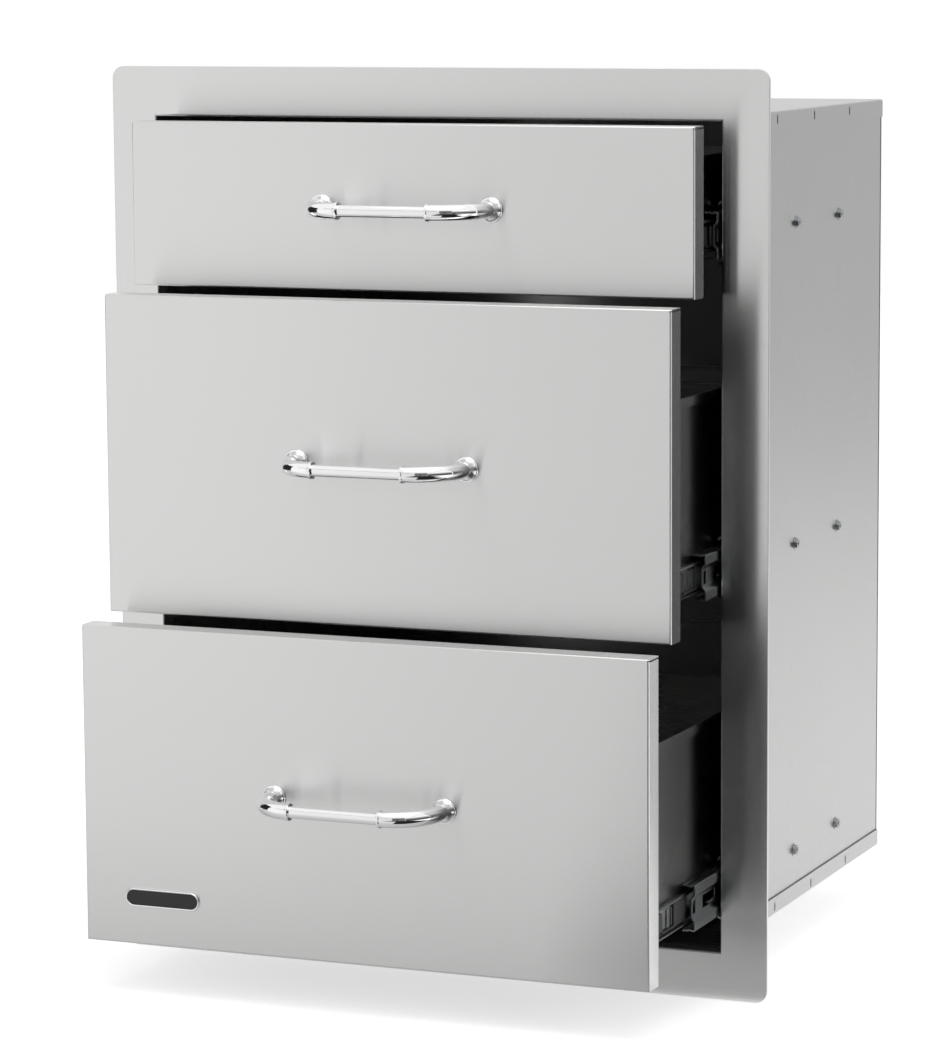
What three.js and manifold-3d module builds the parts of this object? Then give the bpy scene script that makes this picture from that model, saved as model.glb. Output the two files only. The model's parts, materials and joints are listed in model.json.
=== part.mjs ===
// Built-in stainless drawer unit for an outdoor kitchen: a face frame with a sheet metal cabinet
// behind it and three drawers of two depths, each on a pair of full extension ball bearing slides.
// Lengths are millimetres, X to the right, Y to the back and Z up. Drawing heights count from the
// bottom edge of the frame, and the finished part has its origin on the frame's seating band.

import * as THREE from 'three';
import { mergeVertices } from 'three/addons/utils/BufferGeometryUtils.js';
import Module from 'manifold-3d';

const wasm = await Module();
wasm.setup();

// Running and seating clearances
const seatGap = 0.3;
const holeGap = 0.3;
const cutOverrun = 2;
const grid = 0.00001;

// Face frame
const frameWidth = 508.4;
const frameCornerRadius = 8;
const frameSheet = 1.2;
const hemThickness = 2.6;
const hemWidth = 10;
const hemEdgeBevel = 0.8;
const sideStile = 35.3;
const topRail = 36.5;
const bottomRail = 34.6;
const openingReturnDepth = 14.6;
const openingBend = 1.6;
const openingRelief = 0.5;

// Cabinet sheets
const cabinetSheet = 1;
const cabinetBend = 1.2;
const cabinetRearRoom = 9.5;
const panelFrontFlange = 18.5;
const panelBackFlange = 16;
const coverRise = 3.4;
const coverLip = 13.5;
const coverFrontFlange = 18.5;
const panRise = 3.4;
const panLip = 13;
const panFrontFlange = 14;
const cornerSlit = 2.4;
const lipSlotWidth = 1.6;
const lipSlotHeight = 6;
const lipSlotDrop = 3;
const lipSlotFirst = 109.5;
const lipSlotPitch = 86;
const lipSlotCount = 3;

// Drawer fronts
const frontSheet = 1;
const frontBend = 0.9;
const frontReturnDepth = 18.6;
const frontGapSide = 3.2;
const frontGap = 3;
const topFrontGap = 1.9;
const deepFrontHeight = 230;
const shallowFrontHeight = 118.4;
const linerReturn = 9;

// Drawer trays
const traySheet = 0.9;
const trayBend = 1.2;
const trayShortening = 5;
const trayHemDrop = 4.6;
const trayFrontFlange = 14;
const trayBackFlange = 11;
const trayBackDrop = 8;
const shallowTrayDrop = 21;
const deepTrayDrop = 65;

// Drawer positions and travel
const topOpening = 46;
const middleOpening = 93;
const bottomOpening = 137;
const topSlideRise = 41.3;
const middleSlideRise = 37.2;
const bottomSlideRise = 39.4;

// Ball bearing slides
const slideThickness = 12.7;
const slideLength = 340;
const railSheet = 1.2;
const railBend = 0.9;
const cabinetRailHalf = 22.75;
const carrierRailHalf = 16.7;
const drawerRailHalf = 11.4;
const cabinetRailLeg = 8.7;
const cabinetRailLipDepth = 1.75;
const cabinetRailCornerRun = 3.6;
const cabinetRailCornerDrop = 2.15;
const carrierWebStep = 2.6;
const carrierWebHalf = 6.4;
const carrierStepRun = 3.2;
const carrierGrooveDepth = 0.5;
const carrierGrooveHalf = 1;
const carrierGrooveRamp = 1;
const drawerRailLeg = 3.9;
const drawerRailRamp = 1.2;
const cageSheet = 0.5;
const cageGap = 0.35;
const cageBend = 0.6;
const cageLength = 170;
const cageOverhang = 0.6;
const outerBallPlace = 6.6;
const innerBallPlace = 10;
const ballsPerRow = 3;
const ballEndMargin = 12;
const mountSlotLength = 9;
const mountSlotHeight = 4.6;
const mountSlotPlace = 60;
const mountSlotPitch = 210;
const carrierWindowPlace = 22.5;
const carrierWindowLength = 26;
const carrierEyePlace = 1.8;
const carrierEyeLength = 6.2;
const carrierWindowMargin = 1.8;

// Studs that hold the cabinet rails to the side panels
const studRadius = 2;
const studTip = 1.2;
const nutRadius = 3.9;
const nutThickness = 2.8;
const studPlace = 140.7;
const studPitch = 102;

// Handles
const handleSpan = 130;
const handleStandoff = 41;
const handleElbowRadius = 31.2;
const handleTubeRadius = 5.7;
const handleBarRadius = 4.3;
const collarRadius = 6.3;
const collarLength = 1.8;
const collarLip = 0.4;
const socketDepth = 7;
const flangeRadius = 9.6;
const flangeRim = 1.3;
const flangeRise = 6.5;
const flangeStep = 0.3;
const handleStudRadius = 2;
const handleStudLength = 8;
const handleNutRadius = 4.2;
const handleNutThickness = 2.4;
const flangeLipShare = 1.6;
const flangeThroatShare = 0.7;

// Facet counts
const bendSteps = 2;
const railBendSteps = 1;
const ballSides = 5;
const ballRings = 4;
const nutSides = 6;
const studSides = 6;
const tubeSides = 10;
const flangeSides = 12;
const elbowSteps = 5;
const cornerSteps = 4;

// Sizes that follow from the ones above
const lowerGapCount = 3;
const openingHalf = frameWidth / 2 - sideStile;
const openingLow = bottomRail;
const frontsHeight = 2 * deepFrontHeight + shallowFrontHeight;
const openingHigh = openingLow + frontsHeight + lowerGapCount * frontGap + topFrontGap;
const frameHeight = openingHigh + topRail;
const frameFace = -hemThickness;
const plateBack = frameFace + frameSheet;
const flangeFront = plateBack + seatGap;
const panelInner = openingHalf + frameSheet + seatGap;
const panelOuter = panelInner + cabinetSheet;
const lipInner = panelOuter + seatGap;
const lipMiddle = lipInner + cabinetSheet / 2;
const coverTop = openingHigh + coverRise;
const coverMiddle = coverTop - cabinetSheet / 2;
const panBottom = openingLow + panRise;
const panMiddle = panBottom + cabinetSheet / 2;
const panelLow = panBottom + cabinetSheet + seatGap;
const panelHigh = coverTop - cabinetSheet - seatGap;
const frontHalf = openingHalf - frontGapSide;
const frontBack = frameFace + frontReturnDepth;
const slideFront = frontBack + seatGap + cabinetSheet;
const cabinetDepth = slideFront + slideLength + cabinetRearRoom;
const backPanelFront = cabinetDepth + seatGap;
const backPanelBack = backPanelFront + cabinetSheet;
const backLipMiddle = backPanelBack + seatGap + cabinetSheet / 2;
const slideFace = panelInner - seatGap;
const trayOuter = slideFace - slideThickness - seatGap;
const trayFront = frontBack + seatGap;
const trayRear = trayFront + slideLength - trayShortening;
const panFront = frontBack + seatGap + cabinetSheet;
const cageFront = slideFront + (slideLength - cageLength) / 2;
const carrierOuterFace = railSheet + 2 * cageGap + cageSheet;
const outerBallTop = cabinetRailHalf - railSheet;
const outerBallLow = carrierRailHalf - carrierGrooveDepth;
const outerBallHeight = (outerBallTop + outerBallLow) / 2;
const outerBallRadius = (outerBallTop - outerBallLow) / 2 - seatGap;
const innerBallTop = carrierRailHalf - railSheet;
const innerBallHeight = (innerBallTop + drawerRailHalf) / 2;
const innerBallRadius = (innerBallTop - drawerRailHalf) / 2 - seatGap;
const seatBandMiddle = (hemWidth + hemEdgeBevel) / 2;
const handleStraight = handleStandoff - handleElbowRadius - seatGap;

// Geometry helpers: a closed geometry becomes a solid that can be joined and cut. Its
// points are moved to a fine grid first, so that faces that should lie together do so exactly.

function toSolid(geometry) {
  geometry.deleteAttribute('normal');
  geometry.deleteAttribute('uv');
  const merged = mergeVertices(geometry);
  const corners = merged.index.array;
  const faces = [];
  for (let i = 0; i < corners.length; i += 3) {
    const [a, b, c] = [corners[i], corners[i + 1], corners[i + 2]];
    if (a !== b && b !== c && c !== a) {
      faces.push(a, b, c);
    }
  }
  const snapped = merged.attributes.position.array.map((value) => Math.round(value / grid) * grid);
  return new wasm.Manifold(new wasm.Mesh({
    numProp: 3,
    vertProperties: new Float32Array(snapped),
    triVerts: new Uint32Array(faces),
  }));
}

function toGeometry(solid) {
  const mesh = solid.getMesh();
  const geometry = new THREE.BufferGeometry();
  geometry.setAttribute('position', new THREE.BufferAttribute(mesh.vertProperties, mesh.numProp));
  geometry.setIndex(new THREE.BufferAttribute(mesh.triVerts, 1));
  geometry.computeVertexNormals();
  return geometry;
}

function join(solids) {
  return solids.reduce((whole, piece) => whole.add(piece));
}

function cut(solid, tools) {
  return tools.reduce((whole, tool) => whole.subtract(tool), solid);
}

function block(xRange, yRange, zRange) {
  const [x0, x1] = [Math.min(...xRange), Math.max(...xRange)];
  const geometry = new THREE.BoxGeometry(x1 - x0, yRange[1] - yRange[0], zRange[1] - zRange[0]);
  geometry.translate((x0 + x1) / 2, (yRange[0] + yRange[1]) / 2, (zRange[0] + zRange[1]) / 2);
  return toSolid(geometry);
}

// A shape drawn in X and Z, swept along Y.
const shapeToXZ = new THREE.Matrix4().set(1, 0, 0, 0, 0, 0, -1, 0, 0, 1, 0, 0, 0, 0, 0, 1);
// A shape drawn in Y and Z, swept along X.
const shapeToYZ = new THREE.Matrix4().set(0, 0, 1, 0, 1, 0, 0, 0, 0, 1, 0, 0, 0, 0, 0, 1);

function extrude(shape, depth) {
  return new THREE.ExtrudeGeometry(shape, { depth, bevelEnabled: false, curveSegments: cornerSteps });
}

function alongX(shape, x0, x1) {
  return toSolid(extrude(shape, x1 - x0).applyMatrix4(shapeToYZ).translate(x0, 0, 0));
}

function alongY(shape, y0, y1) {
  return toSolid(extrude(shape, y1 - y0).applyMatrix4(shapeToXZ).translate(0, y1, 0));
}

function alongZ(shape, z0, z1) {
  return toSolid(extrude(shape, z1 - z0).translate(0, 0, z0));
}

// A rod along X between two places, centred on a height and a depth.
function rodX(radius, x0, x1, y, z, sides) {
  const geometry = new THREE.CylinderGeometry(radius, radius, Math.abs(x1 - x0), sides);
  geometry.rotateZ(Math.PI / 2).translate((x0 + x1) / 2, y, z);
  return toSolid(geometry);
}

// A rod along Y on the Y axis.
function rodY(radius, y0, y1, sides) {
  const geometry = new THREE.CylinderGeometry(radius, radius, y1 - y0, sides);
  return toSolid(geometry.translate(0, (y0 + y1) / 2, 0));
}

// The outline of a folded sheet: a middle line with rounded corners, thickened to both sides.
function foldedSheet(corners, thickness, bendRadius, steps = bendSteps) {
  const points = corners.map(([a, b]) => new THREE.Vector2(a, b));
  const left = [];
  const right = [];
  const place = (point, normal) => {
    left.push(point.clone().addScaledVector(normal, thickness / 2));
    right.unshift(point.clone().addScaledVector(normal, -thickness / 2));
  };
  const heading = (i) => points[i + 1].clone().sub(points[i]).normalize();
  const normalOf = (direction) => new THREE.Vector2(-direction.y, direction.x);
  const origin = new THREE.Vector2();
  place(points[0], normalOf(heading(0)));
  for (let i = 1; i < points.length - 1; i += 1) {
    const before = heading(i - 1);
    const after = heading(i);
    const turn = Math.atan2(before.cross(after), before.dot(after));
    const half = Math.tan(Math.abs(turn) / 2);
    const room = Math.min(points[i].distanceTo(points[i - 1]), points[i].distanceTo(points[i + 1])) / 2;
    const tangent = Math.min(bendRadius * half, room);
    const radius = tangent / half;
    const side = Math.sign(turn);
    const start = points[i].clone().addScaledVector(before, -tangent);
    const centre = start.clone().addScaledVector(normalOf(before), side * radius);
    for (let k = 0; k <= steps; k += 1) {
      const normal = normalOf(before).rotateAround(origin, (turn * k) / steps);
      place(centre.clone().addScaledVector(normal, -side * radius), normal);
    }
  }
  place(points[points.length - 1], normalOf(heading(points.length - 2)));
  return new THREE.Shape([...left, ...right]);
}

function roundedRectangle(half, low, high, radius) {
  const shape = new THREE.Shape();
  shape.moveTo(half - radius, low);
  shape.absarc(half - radius, low + radius, radius, -Math.PI / 2, 0);
  shape.absarc(half - radius, high - radius, radius, 0, Math.PI / 2);
  shape.absarc(-half + radius, high - radius, radius, Math.PI / 2, Math.PI);
  shape.absarc(-half + radius, low + radius, radius, Math.PI, 1.5 * Math.PI);
  shape.closePath();
  return shape;
}

function mirrored(path) {
  return [...path, ...path.map(([a, b]) => [a, -b]).reverse()];
}

const colours = {
  brushed: { color: 0xc6c6c4, roughness: 0.34, metalness: 1 },
  plain: { color: 0xa9aaa9, roughness: 0.42, metalness: 1 },
  zinc: { color: 0x8d9093, roughness: 0.4, metalness: 1 },
  cage: { color: 0x5f6265, roughness: 0.5, metalness: 0.9 },
  chrome: { color: 0xe9e9ea, roughness: 0.08, metalness: 1 },
};

function named(name, solid, finish) {
  const mesh = new THREE.Mesh(toGeometry(solid), new THREE.MeshStandardMaterial(colours[finish]));
  mesh.material.flatShading = true;
  mesh.name = name;
  return mesh;
}

// Face frame: one sheet with a rounded outline, its rim hemmed flat to the back, and the four
// edges of the opening folded back, with a small relief notch left open in each corner.
function faceFrame() {
  const outline = roundedRectangle(frameWidth / 2 - hemEdgeBevel, hemEdgeBevel,
    frameHeight - hemEdgeBevel, frameCornerRadius);
  const rim = new THREE.ExtrudeGeometry(outline, {
    depth: hemThickness - hemEdgeBevel,
    bevelThickness: hemEdgeBevel,
    bevelSize: hemEdgeBevel,
    bevelSegments: bendSteps,
    curveSegments: cornerSteps,
  });
  rim.applyMatrix4(shapeToXZ);
  const plate = toSolid(rim).intersect(block([-frameWidth, frameWidth], [frameFace, 0],
    [-frameHeight, 2 * frameHeight]));
  const pocket = roundedRectangle(frameWidth / 2 - hemWidth, hemWidth, frameHeight - hemWidth,
    frameCornerRadius);
  const corner = openingBend + frameSheet;
  const bendMiddle = openingBend + frameSheet / 2;
  const opening = block([-openingHalf - corner, openingHalf + corner],
    [frameFace - cutOverrun, cutOverrun], [openingLow - corner, openingHigh + corner]);
  const returnEnd = frameFace + openingReturnDepth;
  const plateMiddle = frameFace + frameSheet / 2;
  const edge = (place, side) => foldedSheet([
    [place + side * (corner + cutOverrun), plateMiddle],
    [place + side * frameSheet / 2, plateMiddle],
    [place + side * frameSheet / 2, returnEnd],
  ], frameSheet, bendMiddle);
  const upright = (side) => alongZ(edge(side * openingHalf, side), openingLow + openingRelief,
    openingHigh - openingRelief);
  const level = (place, side) => {
    const profile = foldedSheet([
      [plateMiddle, place + side * (corner + cutOverrun)],
      [plateMiddle, place + side * frameSheet / 2],
      [returnEnd, place + side * frameSheet / 2],
    ], frameSheet, bendMiddle);
    return alongX(profile, -openingHalf + openingRelief, openingHalf - openingRelief);
  };
  return join([
    cut(plate, [alongY(pocket, plateBack, cutOverrun), opening]),
    upright(1),
    upright(-1),
    level(openingHigh, 1),
    level(openingLow, -1),
  ]);
}

// Side panel: a flat sheet with its front edge turned out behind the frame and its back edge
// turned in, drilled for the studs of the three cabinet rails.
function sidePanel(side, studHeights) {
  const middle = side * (panelInner + cabinetSheet / 2);
  const frontMiddle = flangeFront + cabinetSheet / 2;
  const backMiddle = cabinetDepth - cabinetSheet / 2;
  const profile = foldedSheet([
    [middle + side * panelFrontFlange, frontMiddle],
    [middle, frontMiddle],
    [middle, backMiddle],
    [middle - side * panelBackFlange, backMiddle],
  ], cabinetSheet, cabinetBend);
  const holes = studHeights.flatMap((height) => studPlaces().map((place) => rodX(
    studRadius + holeGap, side * (panelInner - cutOverrun), side * (panelOuter + cutOverrun),
    place, height, studSides)));
  return cut(alongZ(profile, panelLow, panelHigh), holes);
}

function studPlaces() {
  return [slideFront + studPlace, slideFront + studPlace + studPitch];
}

function lipSlots(side, low, high) {
  return Array.from({ length: lipSlotCount }, (_, i) => {
    const place = lipSlotFirst + i * lipSlotPitch;
    return block([side * (lipInner - seatGap / 2), side * (lipInner + cabinetSheet + cutOverrun)],
      [place - lipSlotWidth / 2, place + lipSlotWidth / 2], [low, high]);
  });
}

// Top cover: side and back edges turned down over the cabinet, front edge turned up behind
// the frame, with three slots in each side lip.
function topCover() {
  const lipLow = coverTop - coverLip;
  const flangeMiddle = flangeFront + cabinetSheet / 2;
  const across = foldedSheet([
    [-lipMiddle, lipLow],
    [-lipMiddle, coverMiddle],
    [lipMiddle, coverMiddle],
    [lipMiddle, lipLow],
  ], cabinetSheet, cabinetBend);
  const lengthwise = foldedSheet([
    [flangeMiddle, coverTop + coverFrontFlange],
    [flangeMiddle, coverMiddle],
    [backLipMiddle, coverMiddle],
    [backLipMiddle, lipLow],
  ], cabinetSheet, cabinetBend);
  const lipHigh = coverTop - lipSlotDrop;
  return cut(join([
    alongY(across, flangeFront + cabinetSheet + seatGap, backLipMiddle - cornerSlit),
    alongX(lengthwise, -lipInner, lipInner),
  ]), [1, -1].flatMap((side) => lipSlots(side, lipHigh - lipSlotHeight, lipHigh)));
}

// Bottom pan: side and back edges turned up outside the cabinet, front edge turned down.
function bottomPan() {
  const lipHigh = panBottom + panLip;
  const across = foldedSheet([
    [-lipMiddle, lipHigh],
    [-lipMiddle, panMiddle],
    [lipMiddle, panMiddle],
    [lipMiddle, lipHigh],
  ], cabinetSheet, cabinetBend);
  const lengthwise = foldedSheet([
    [panFront + cabinetSheet / 2, panBottom - panFrontFlange],
    [panFront + cabinetSheet / 2, panMiddle],
    [backLipMiddle, panMiddle],
    [backLipMiddle, lipHigh],
  ], cabinetSheet, cabinetBend);
  const slotLow = panBottom + lipSlotDrop;
  return cut(join([
    alongY(across, panFront + cabinetSheet + cabinetBend, backLipMiddle - cornerSlit),
    alongX(lengthwise, -lipInner, lipInner),
  ]), [1, -1].flatMap((side) => lipSlots(side, slotLow, slotLow + lipSlotHeight)));
}

function backPanel() {
  return block([-panelOuter, panelOuter], [backPanelFront, backPanelBack], [panelLow, panelHigh]);
}

// Drawer front: a sheet with all four edges folded back and the corners left slit.
function drawerFront(height, handleHeight) {
  const faceMiddle = frameFace + frontSheet / 2;
  const inset = frontSheet / 2;
  const corner = frontBend + inset;
  const across = foldedSheet([
    [-frontHalf + inset, frontBack],
    [-frontHalf + inset, faceMiddle],
    [frontHalf - inset, faceMiddle],
    [frontHalf - inset, frontBack],
  ], frontSheet, frontBend);
  const upright = foldedSheet([
    [frontBack, inset],
    [faceMiddle, inset],
    [faceMiddle, height - inset],
    [frontBack, height - inset],
  ], frontSheet, frontBend);
  const ends = [-1, 1].flatMap((side) => [0, height - frontSheet].map((low) => block(
    [side * (frontHalf - 2 * corner), side * frontHalf],
    [frameFace + corner + seatGap, frontBack],
    [low, low + frontSheet])));
  const holes = [-1, 1].map((side) => {
    const hole = new THREE.CylinderGeometry(handleStudRadius + holeGap, handleStudRadius + holeGap,
      frontSheet + 2 * cutOverrun, studSides);
    return toSolid(hole.translate((side * handleSpan) / 2, faceMiddle, handleHeight));
  });
  return cut(join([
    alongZ(across, corner, height - corner),
    alongX(upright, -frontHalf + corner, frontHalf - corner),
    ...ends,
  ]), holes);
}

// Inner front: a shallow pan that closes the back of the drawer front.
function drawerLiner(height) {
  const side = frontSheet + seatGap + frontSheet / 2;
  const backMiddle = frontBack - frontSheet / 2;
  const rimFront = frontBack - linerReturn;
  const corner = frontBend + frontSheet / 2;
  const across = foldedSheet([
    [-frontHalf + side, rimFront],
    [-frontHalf + side, backMiddle],
    [frontHalf - side, backMiddle],
    [frontHalf - side, rimFront],
  ], frontSheet, frontBend);
  const upright = foldedSheet([
    [rimFront, side],
    [backMiddle, side],
    [backMiddle, height - side],
    [rimFront, height - side],
  ], frontSheet, frontBend);
  return join([
    alongZ(across, side + corner, height - side - corner),
    alongX(upright, -frontHalf + side + corner, frontHalf - side - corner),
  ]);
}

// Tray: bottom and sides in one sheet, as low as the drawer rails. The top edges are folded out
// and down into a flat hem, and the front edges are turned in against the inner front.
function drawerTray(bottom, top) {
  const wall = trayOuter - traySheet / 2;
  const hem = wall + traySheet + seatGap;
  const topMiddle = top - traySheet / 2;
  const bottomMiddle = bottom + traySheet / 2;
  const half = [
    [hem, top - trayHemDrop],
    [hem, topMiddle],
    [wall, topMiddle],
    [wall, bottomMiddle],
  ];
  const otherHalf = half.map(([a, b]) => [-a, b]).reverse();
  const body = alongY(foldedSheet([...half, ...otherHalf], traySheet, trayBend), trayFront, trayRear);
  const flangeMiddle = trayFront + traySheet / 2;
  const flanges = [-1, 1].map((side) => {
    const profile = foldedSheet([
      [side * wall, flangeMiddle + trayFrontFlange],
      [side * wall, flangeMiddle],
      [side * (wall - trayFrontFlange), flangeMiddle],
    ], traySheet, trayBend);
    return alongZ(profile, bottom, top - trayHemDrop);
  });
  return join([body, ...flanges]);
}

// Tray back: a low panel between the tray's sides, its side and top edges turned forward.
function trayBack(bottom, top) {
  const half = trayOuter - traySheet - seatGap - traySheet / 2;
  const low = bottom + traySheet + seatGap;
  const high = top - trayBackDrop;
  const backMiddle = trayRear - traySheet / 2;
  const rim = backMiddle - trayBackFlange;
  const across = foldedSheet([
    [-half, rim],
    [-half, backMiddle],
    [half, backMiddle],
    [half, rim],
  ], traySheet, trayBend);
  const upright = foldedSheet([
    [backMiddle, low],
    [backMiddle, high - traySheet / 2],
    [rim, high - traySheet / 2],
  ], traySheet, trayBend);
  const corner = trayBend + traySheet;
  return join([
    alongZ(across, low, high - corner),
    alongX(upright, -half + corner, half - corner),
  ]);
}

// Slide pieces are drawn in a depth from the cabinet wall towards the tray and a height from the
// slide's middle line. Each builder places them on one side of the cabinet.
function railOutline(side, path, thickness, bendRadius, steps) {
  const placed = path.map(([depth, height]) => [side * (slideFace - depth), height]);
  return foldedSheet(placed, thickness, bendRadius, steps);
}

function railSlot(side, depthRange, place, length, halfHeight) {
  const [near, far] = depthRange;
  return block([side * (slideFace - near), side * (slideFace - far)],
    [place, place + length], [-halfHeight, halfHeight]);
}

// Cabinet rail: a channel with slanted corners and rolled lips, and the two studs that pass
// through the side panel into their nuts.
function cabinetRail(side) {
  const web = railSheet / 2;
  const leg = cabinetRailHalf - railSheet / 2;
  const path = mirrored([
    [cabinetRailLeg + railSheet, leg - cabinetRailLipDepth],
    [cabinetRailLeg, leg],
    [web + cabinetRailCornerRun, leg],
    [web, leg - cabinetRailCornerDrop],
  ]);
  const channel = alongY(railOutline(side, path, railSheet, railBend, railBendSteps), slideFront,
    slideFront + slideLength);
  const nutSeat = panelOuter + seatGap;
  const studs = studPlaces().flatMap((place) => [
    rodX(studRadius, side * (slideFace - web), side * (nutSeat + nutThickness + studTip), place, 0,
      studSides),
    rodX(nutRadius, side * nutSeat, side * (nutSeat + nutThickness), place, 0, nutSides),
  ]);
  const slots = [0, mountSlotPitch].map((step) => railSlot(side, [-cutOverrun, railSheet + cageGap],
    slideFront + mountSlotPlace + step, mountSlotLength, mountSlotHeight / 2));
  return cut(join([channel, ...studs]), slots);
}

// Carrier rail: the middle channel, its web stepped in between the two ball races and its legs
// grooved for the outer balls, with an eye at the front of the web and a window behind it.
function carrierRail(side) {
  const web = carrierOuterFace + railSheet / 2;
  const leg = carrierRailHalf - railSheet / 2;
  const groove = leg - carrierGrooveDepth;
  const path = mirrored([
    [slideThickness - railSheet / 2, leg],
    [outerBallPlace + carrierGrooveHalf + carrierGrooveRamp, leg],
    [outerBallPlace + carrierGrooveHalf, groove],
    [outerBallPlace - carrierGrooveHalf, groove],
    [outerBallPlace - carrierGrooveHalf - carrierGrooveRamp, leg],
    [web, leg],
    [web, carrierWebHalf + carrierStepRun],
    [web + carrierWebStep, carrierWebHalf],
  ]);
  const channel = alongY(railOutline(side, path, railSheet, railBend, railBendSteps), slideFront,
    slideFront + slideLength);
  const openings = [
    [carrierEyePlace, carrierEyeLength],
    [carrierWindowPlace, carrierWindowLength],
  ].map(([place, length]) => railSlot(side,
    [carrierOuterFace - seatGap / 2, web + carrierWebStep + railSheet], slideFront + place, length,
    carrierWebHalf - carrierWindowMargin));
  return cut(channel, openings);
}

// Drawer rail: the inner channel on the tray's side.
function drawerRail(side) {
  const web = slideThickness - railSheet / 2;
  const leg = drawerRailHalf - railSheet / 2;
  const path = mirrored([
    [web - drawerRailLeg, leg - drawerRailRamp],
    [web - drawerRailLeg + drawerRailRamp / 2, leg],
    [web - drawerRailRamp, leg],
    [web, leg - drawerRailRamp],
  ]);
  const channel = alongY(railOutline(side, path, railSheet, railBend, railBendSteps), slideFront,
    slideFront + slideLength);
  const slots = [0, mountSlotPitch].map((step) => railSlot(side,
    [slideThickness + cutOverrun, web - railSheet], slideFront + mountSlotPlace + step,
    mountSlotLength, mountSlotHeight / 2));
  return cut(channel, slots);
}

// Ball cage: a thin strip folded round the next rail, with a row of balls held in each leg.
function ballCage(side, webPlace, ballPlace, ballHeight, ballRadius) {
  const path = mirrored([
    [ballPlace + ballRadius - cageOverhang, ballHeight],
    [webPlace, ballHeight],
  ]);
  const strip = alongY(railOutline(side, path, cageSheet, cageBend, railBendSteps), cageFront,
    cageFront + cageLength);
  const pitch = (cageLength - 2 * ballEndMargin) / (ballsPerRow - 1);
  const balls = [1, -1].flatMap((row) => Array.from({ length: ballsPerRow }, (_, i) => {
    const ball = new THREE.SphereGeometry(ballRadius, ballSides, ballRings);
    ball.rotateX(Math.PI / 2);
    ball.translate(side * (slideFace - ballPlace), cageFront + ballEndMargin + i * pitch,
      row * ballHeight);
    return toSolid(ball);
  }));
  return join([strip, ...balls]);
}

function outerCage(side) {
  const web = railSheet + cageGap + cageSheet / 2;
  return ballCage(side, web, outerBallPlace, outerBallHeight, outerBallRadius);
}

function innerCage(side) {
  const web = carrierOuterFace + carrierWebStep + railSheet + cageGap + cageSheet / 2;
  return ballCage(side, web, innerBallPlace, innerBallHeight, innerBallRadius);
}

// The middle line of a handle's tube: straight out of its flange, then a quarter turn.
class Elbow extends THREE.Curve {
  constructor(start, straight, radius, inward) {
    super();
    this.start = start;
    this.straight = straight;
    this.radius = radius;
    this.inward = inward;
  }

  getPoint(share, target = new THREE.Vector3()) {
    const run = this.start + share * (this.straight - this.start + (this.radius * Math.PI) / 2);
    if (run <= this.straight) {
      return target.set(0, -run, 0);
    }
    const angle = (run - this.straight) / this.radius;
    return target.set(this.inward * this.radius * (1 - Math.cos(angle)),
      -this.straight - this.radius * Math.sin(angle), 0);
  }
}

// Handle post: a trumpet flange round the foot of a bent tube that ends in a collar, bored for
// the bar, with the stud and nut that clamp it to the drawer front.
function handlePost(side) {
  const throat = handleTubeRadius + flangeStep;
  const outline = [
    [0, 0],
    [flangeRadius, 0],
    [flangeRadius, flangeRim],
    [flangeRadius - flangeRim / 2, flangeRim * flangeLipShare],
    [flangeRadius + (throat - flangeRadius) * flangeThroatShare, flangeRise / 2],
    [throat, flangeRise],
    [0, flangeRise],
  ].map(([radius, height]) => new THREE.Vector2(radius, -height)).reverse();
  const flange = toSolid(new THREE.LatheGeometry(outline, flangeSides));
  const rim = Array.from({ length: tubeSides }, (_, i) => new THREE.Vector2(handleTubeRadius, 0)
    .rotateAround(new THREE.Vector2(), (2 * Math.PI * i) / tubeSides));
  const tube = toSolid(new THREE.ExtrudeGeometry(new THREE.Shape(rim), {
    steps: elbowSteps,
    extrudePath: new Elbow(flangeRim, handleStraight, handleElbowRadius, -side),
  }));
  const reach = -handleStraight - handleElbowRadius;
  const mouth = -side * handleElbowRadius;
  const collar = rodX(collarRadius, mouth + side * collarLength, mouth - side * collarLip, reach, 0,
    flangeSides);
  const socket = rodX(handleBarRadius + holeGap, mouth + side * socketDepth,
    mouth - side * cutOverrun, reach, 0, tubeSides);
  const stud = rodY(handleStudRadius, -flangeRim / 2, handleStudLength, studSides);
  const nutSeat = seatGap + frontSheet + seatGap;
  const nut = rodY(handleNutRadius, nutSeat, nutSeat + handleNutThickness, nutSides);
  return cut(join([flange, tube, collar, stud, nut]), [socket]);
}

function handleBar() {
  const half = handleSpan / 2 - handleElbowRadius + socketDepth - seatGap;
  return rodX(handleBarRadius, -half, half, -handleStraight - handleElbowRadius, 0, tubeSides);
}

function placed(group, x, y, z) {
  group.position.set(x, y, z);
  return group;
}

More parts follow.
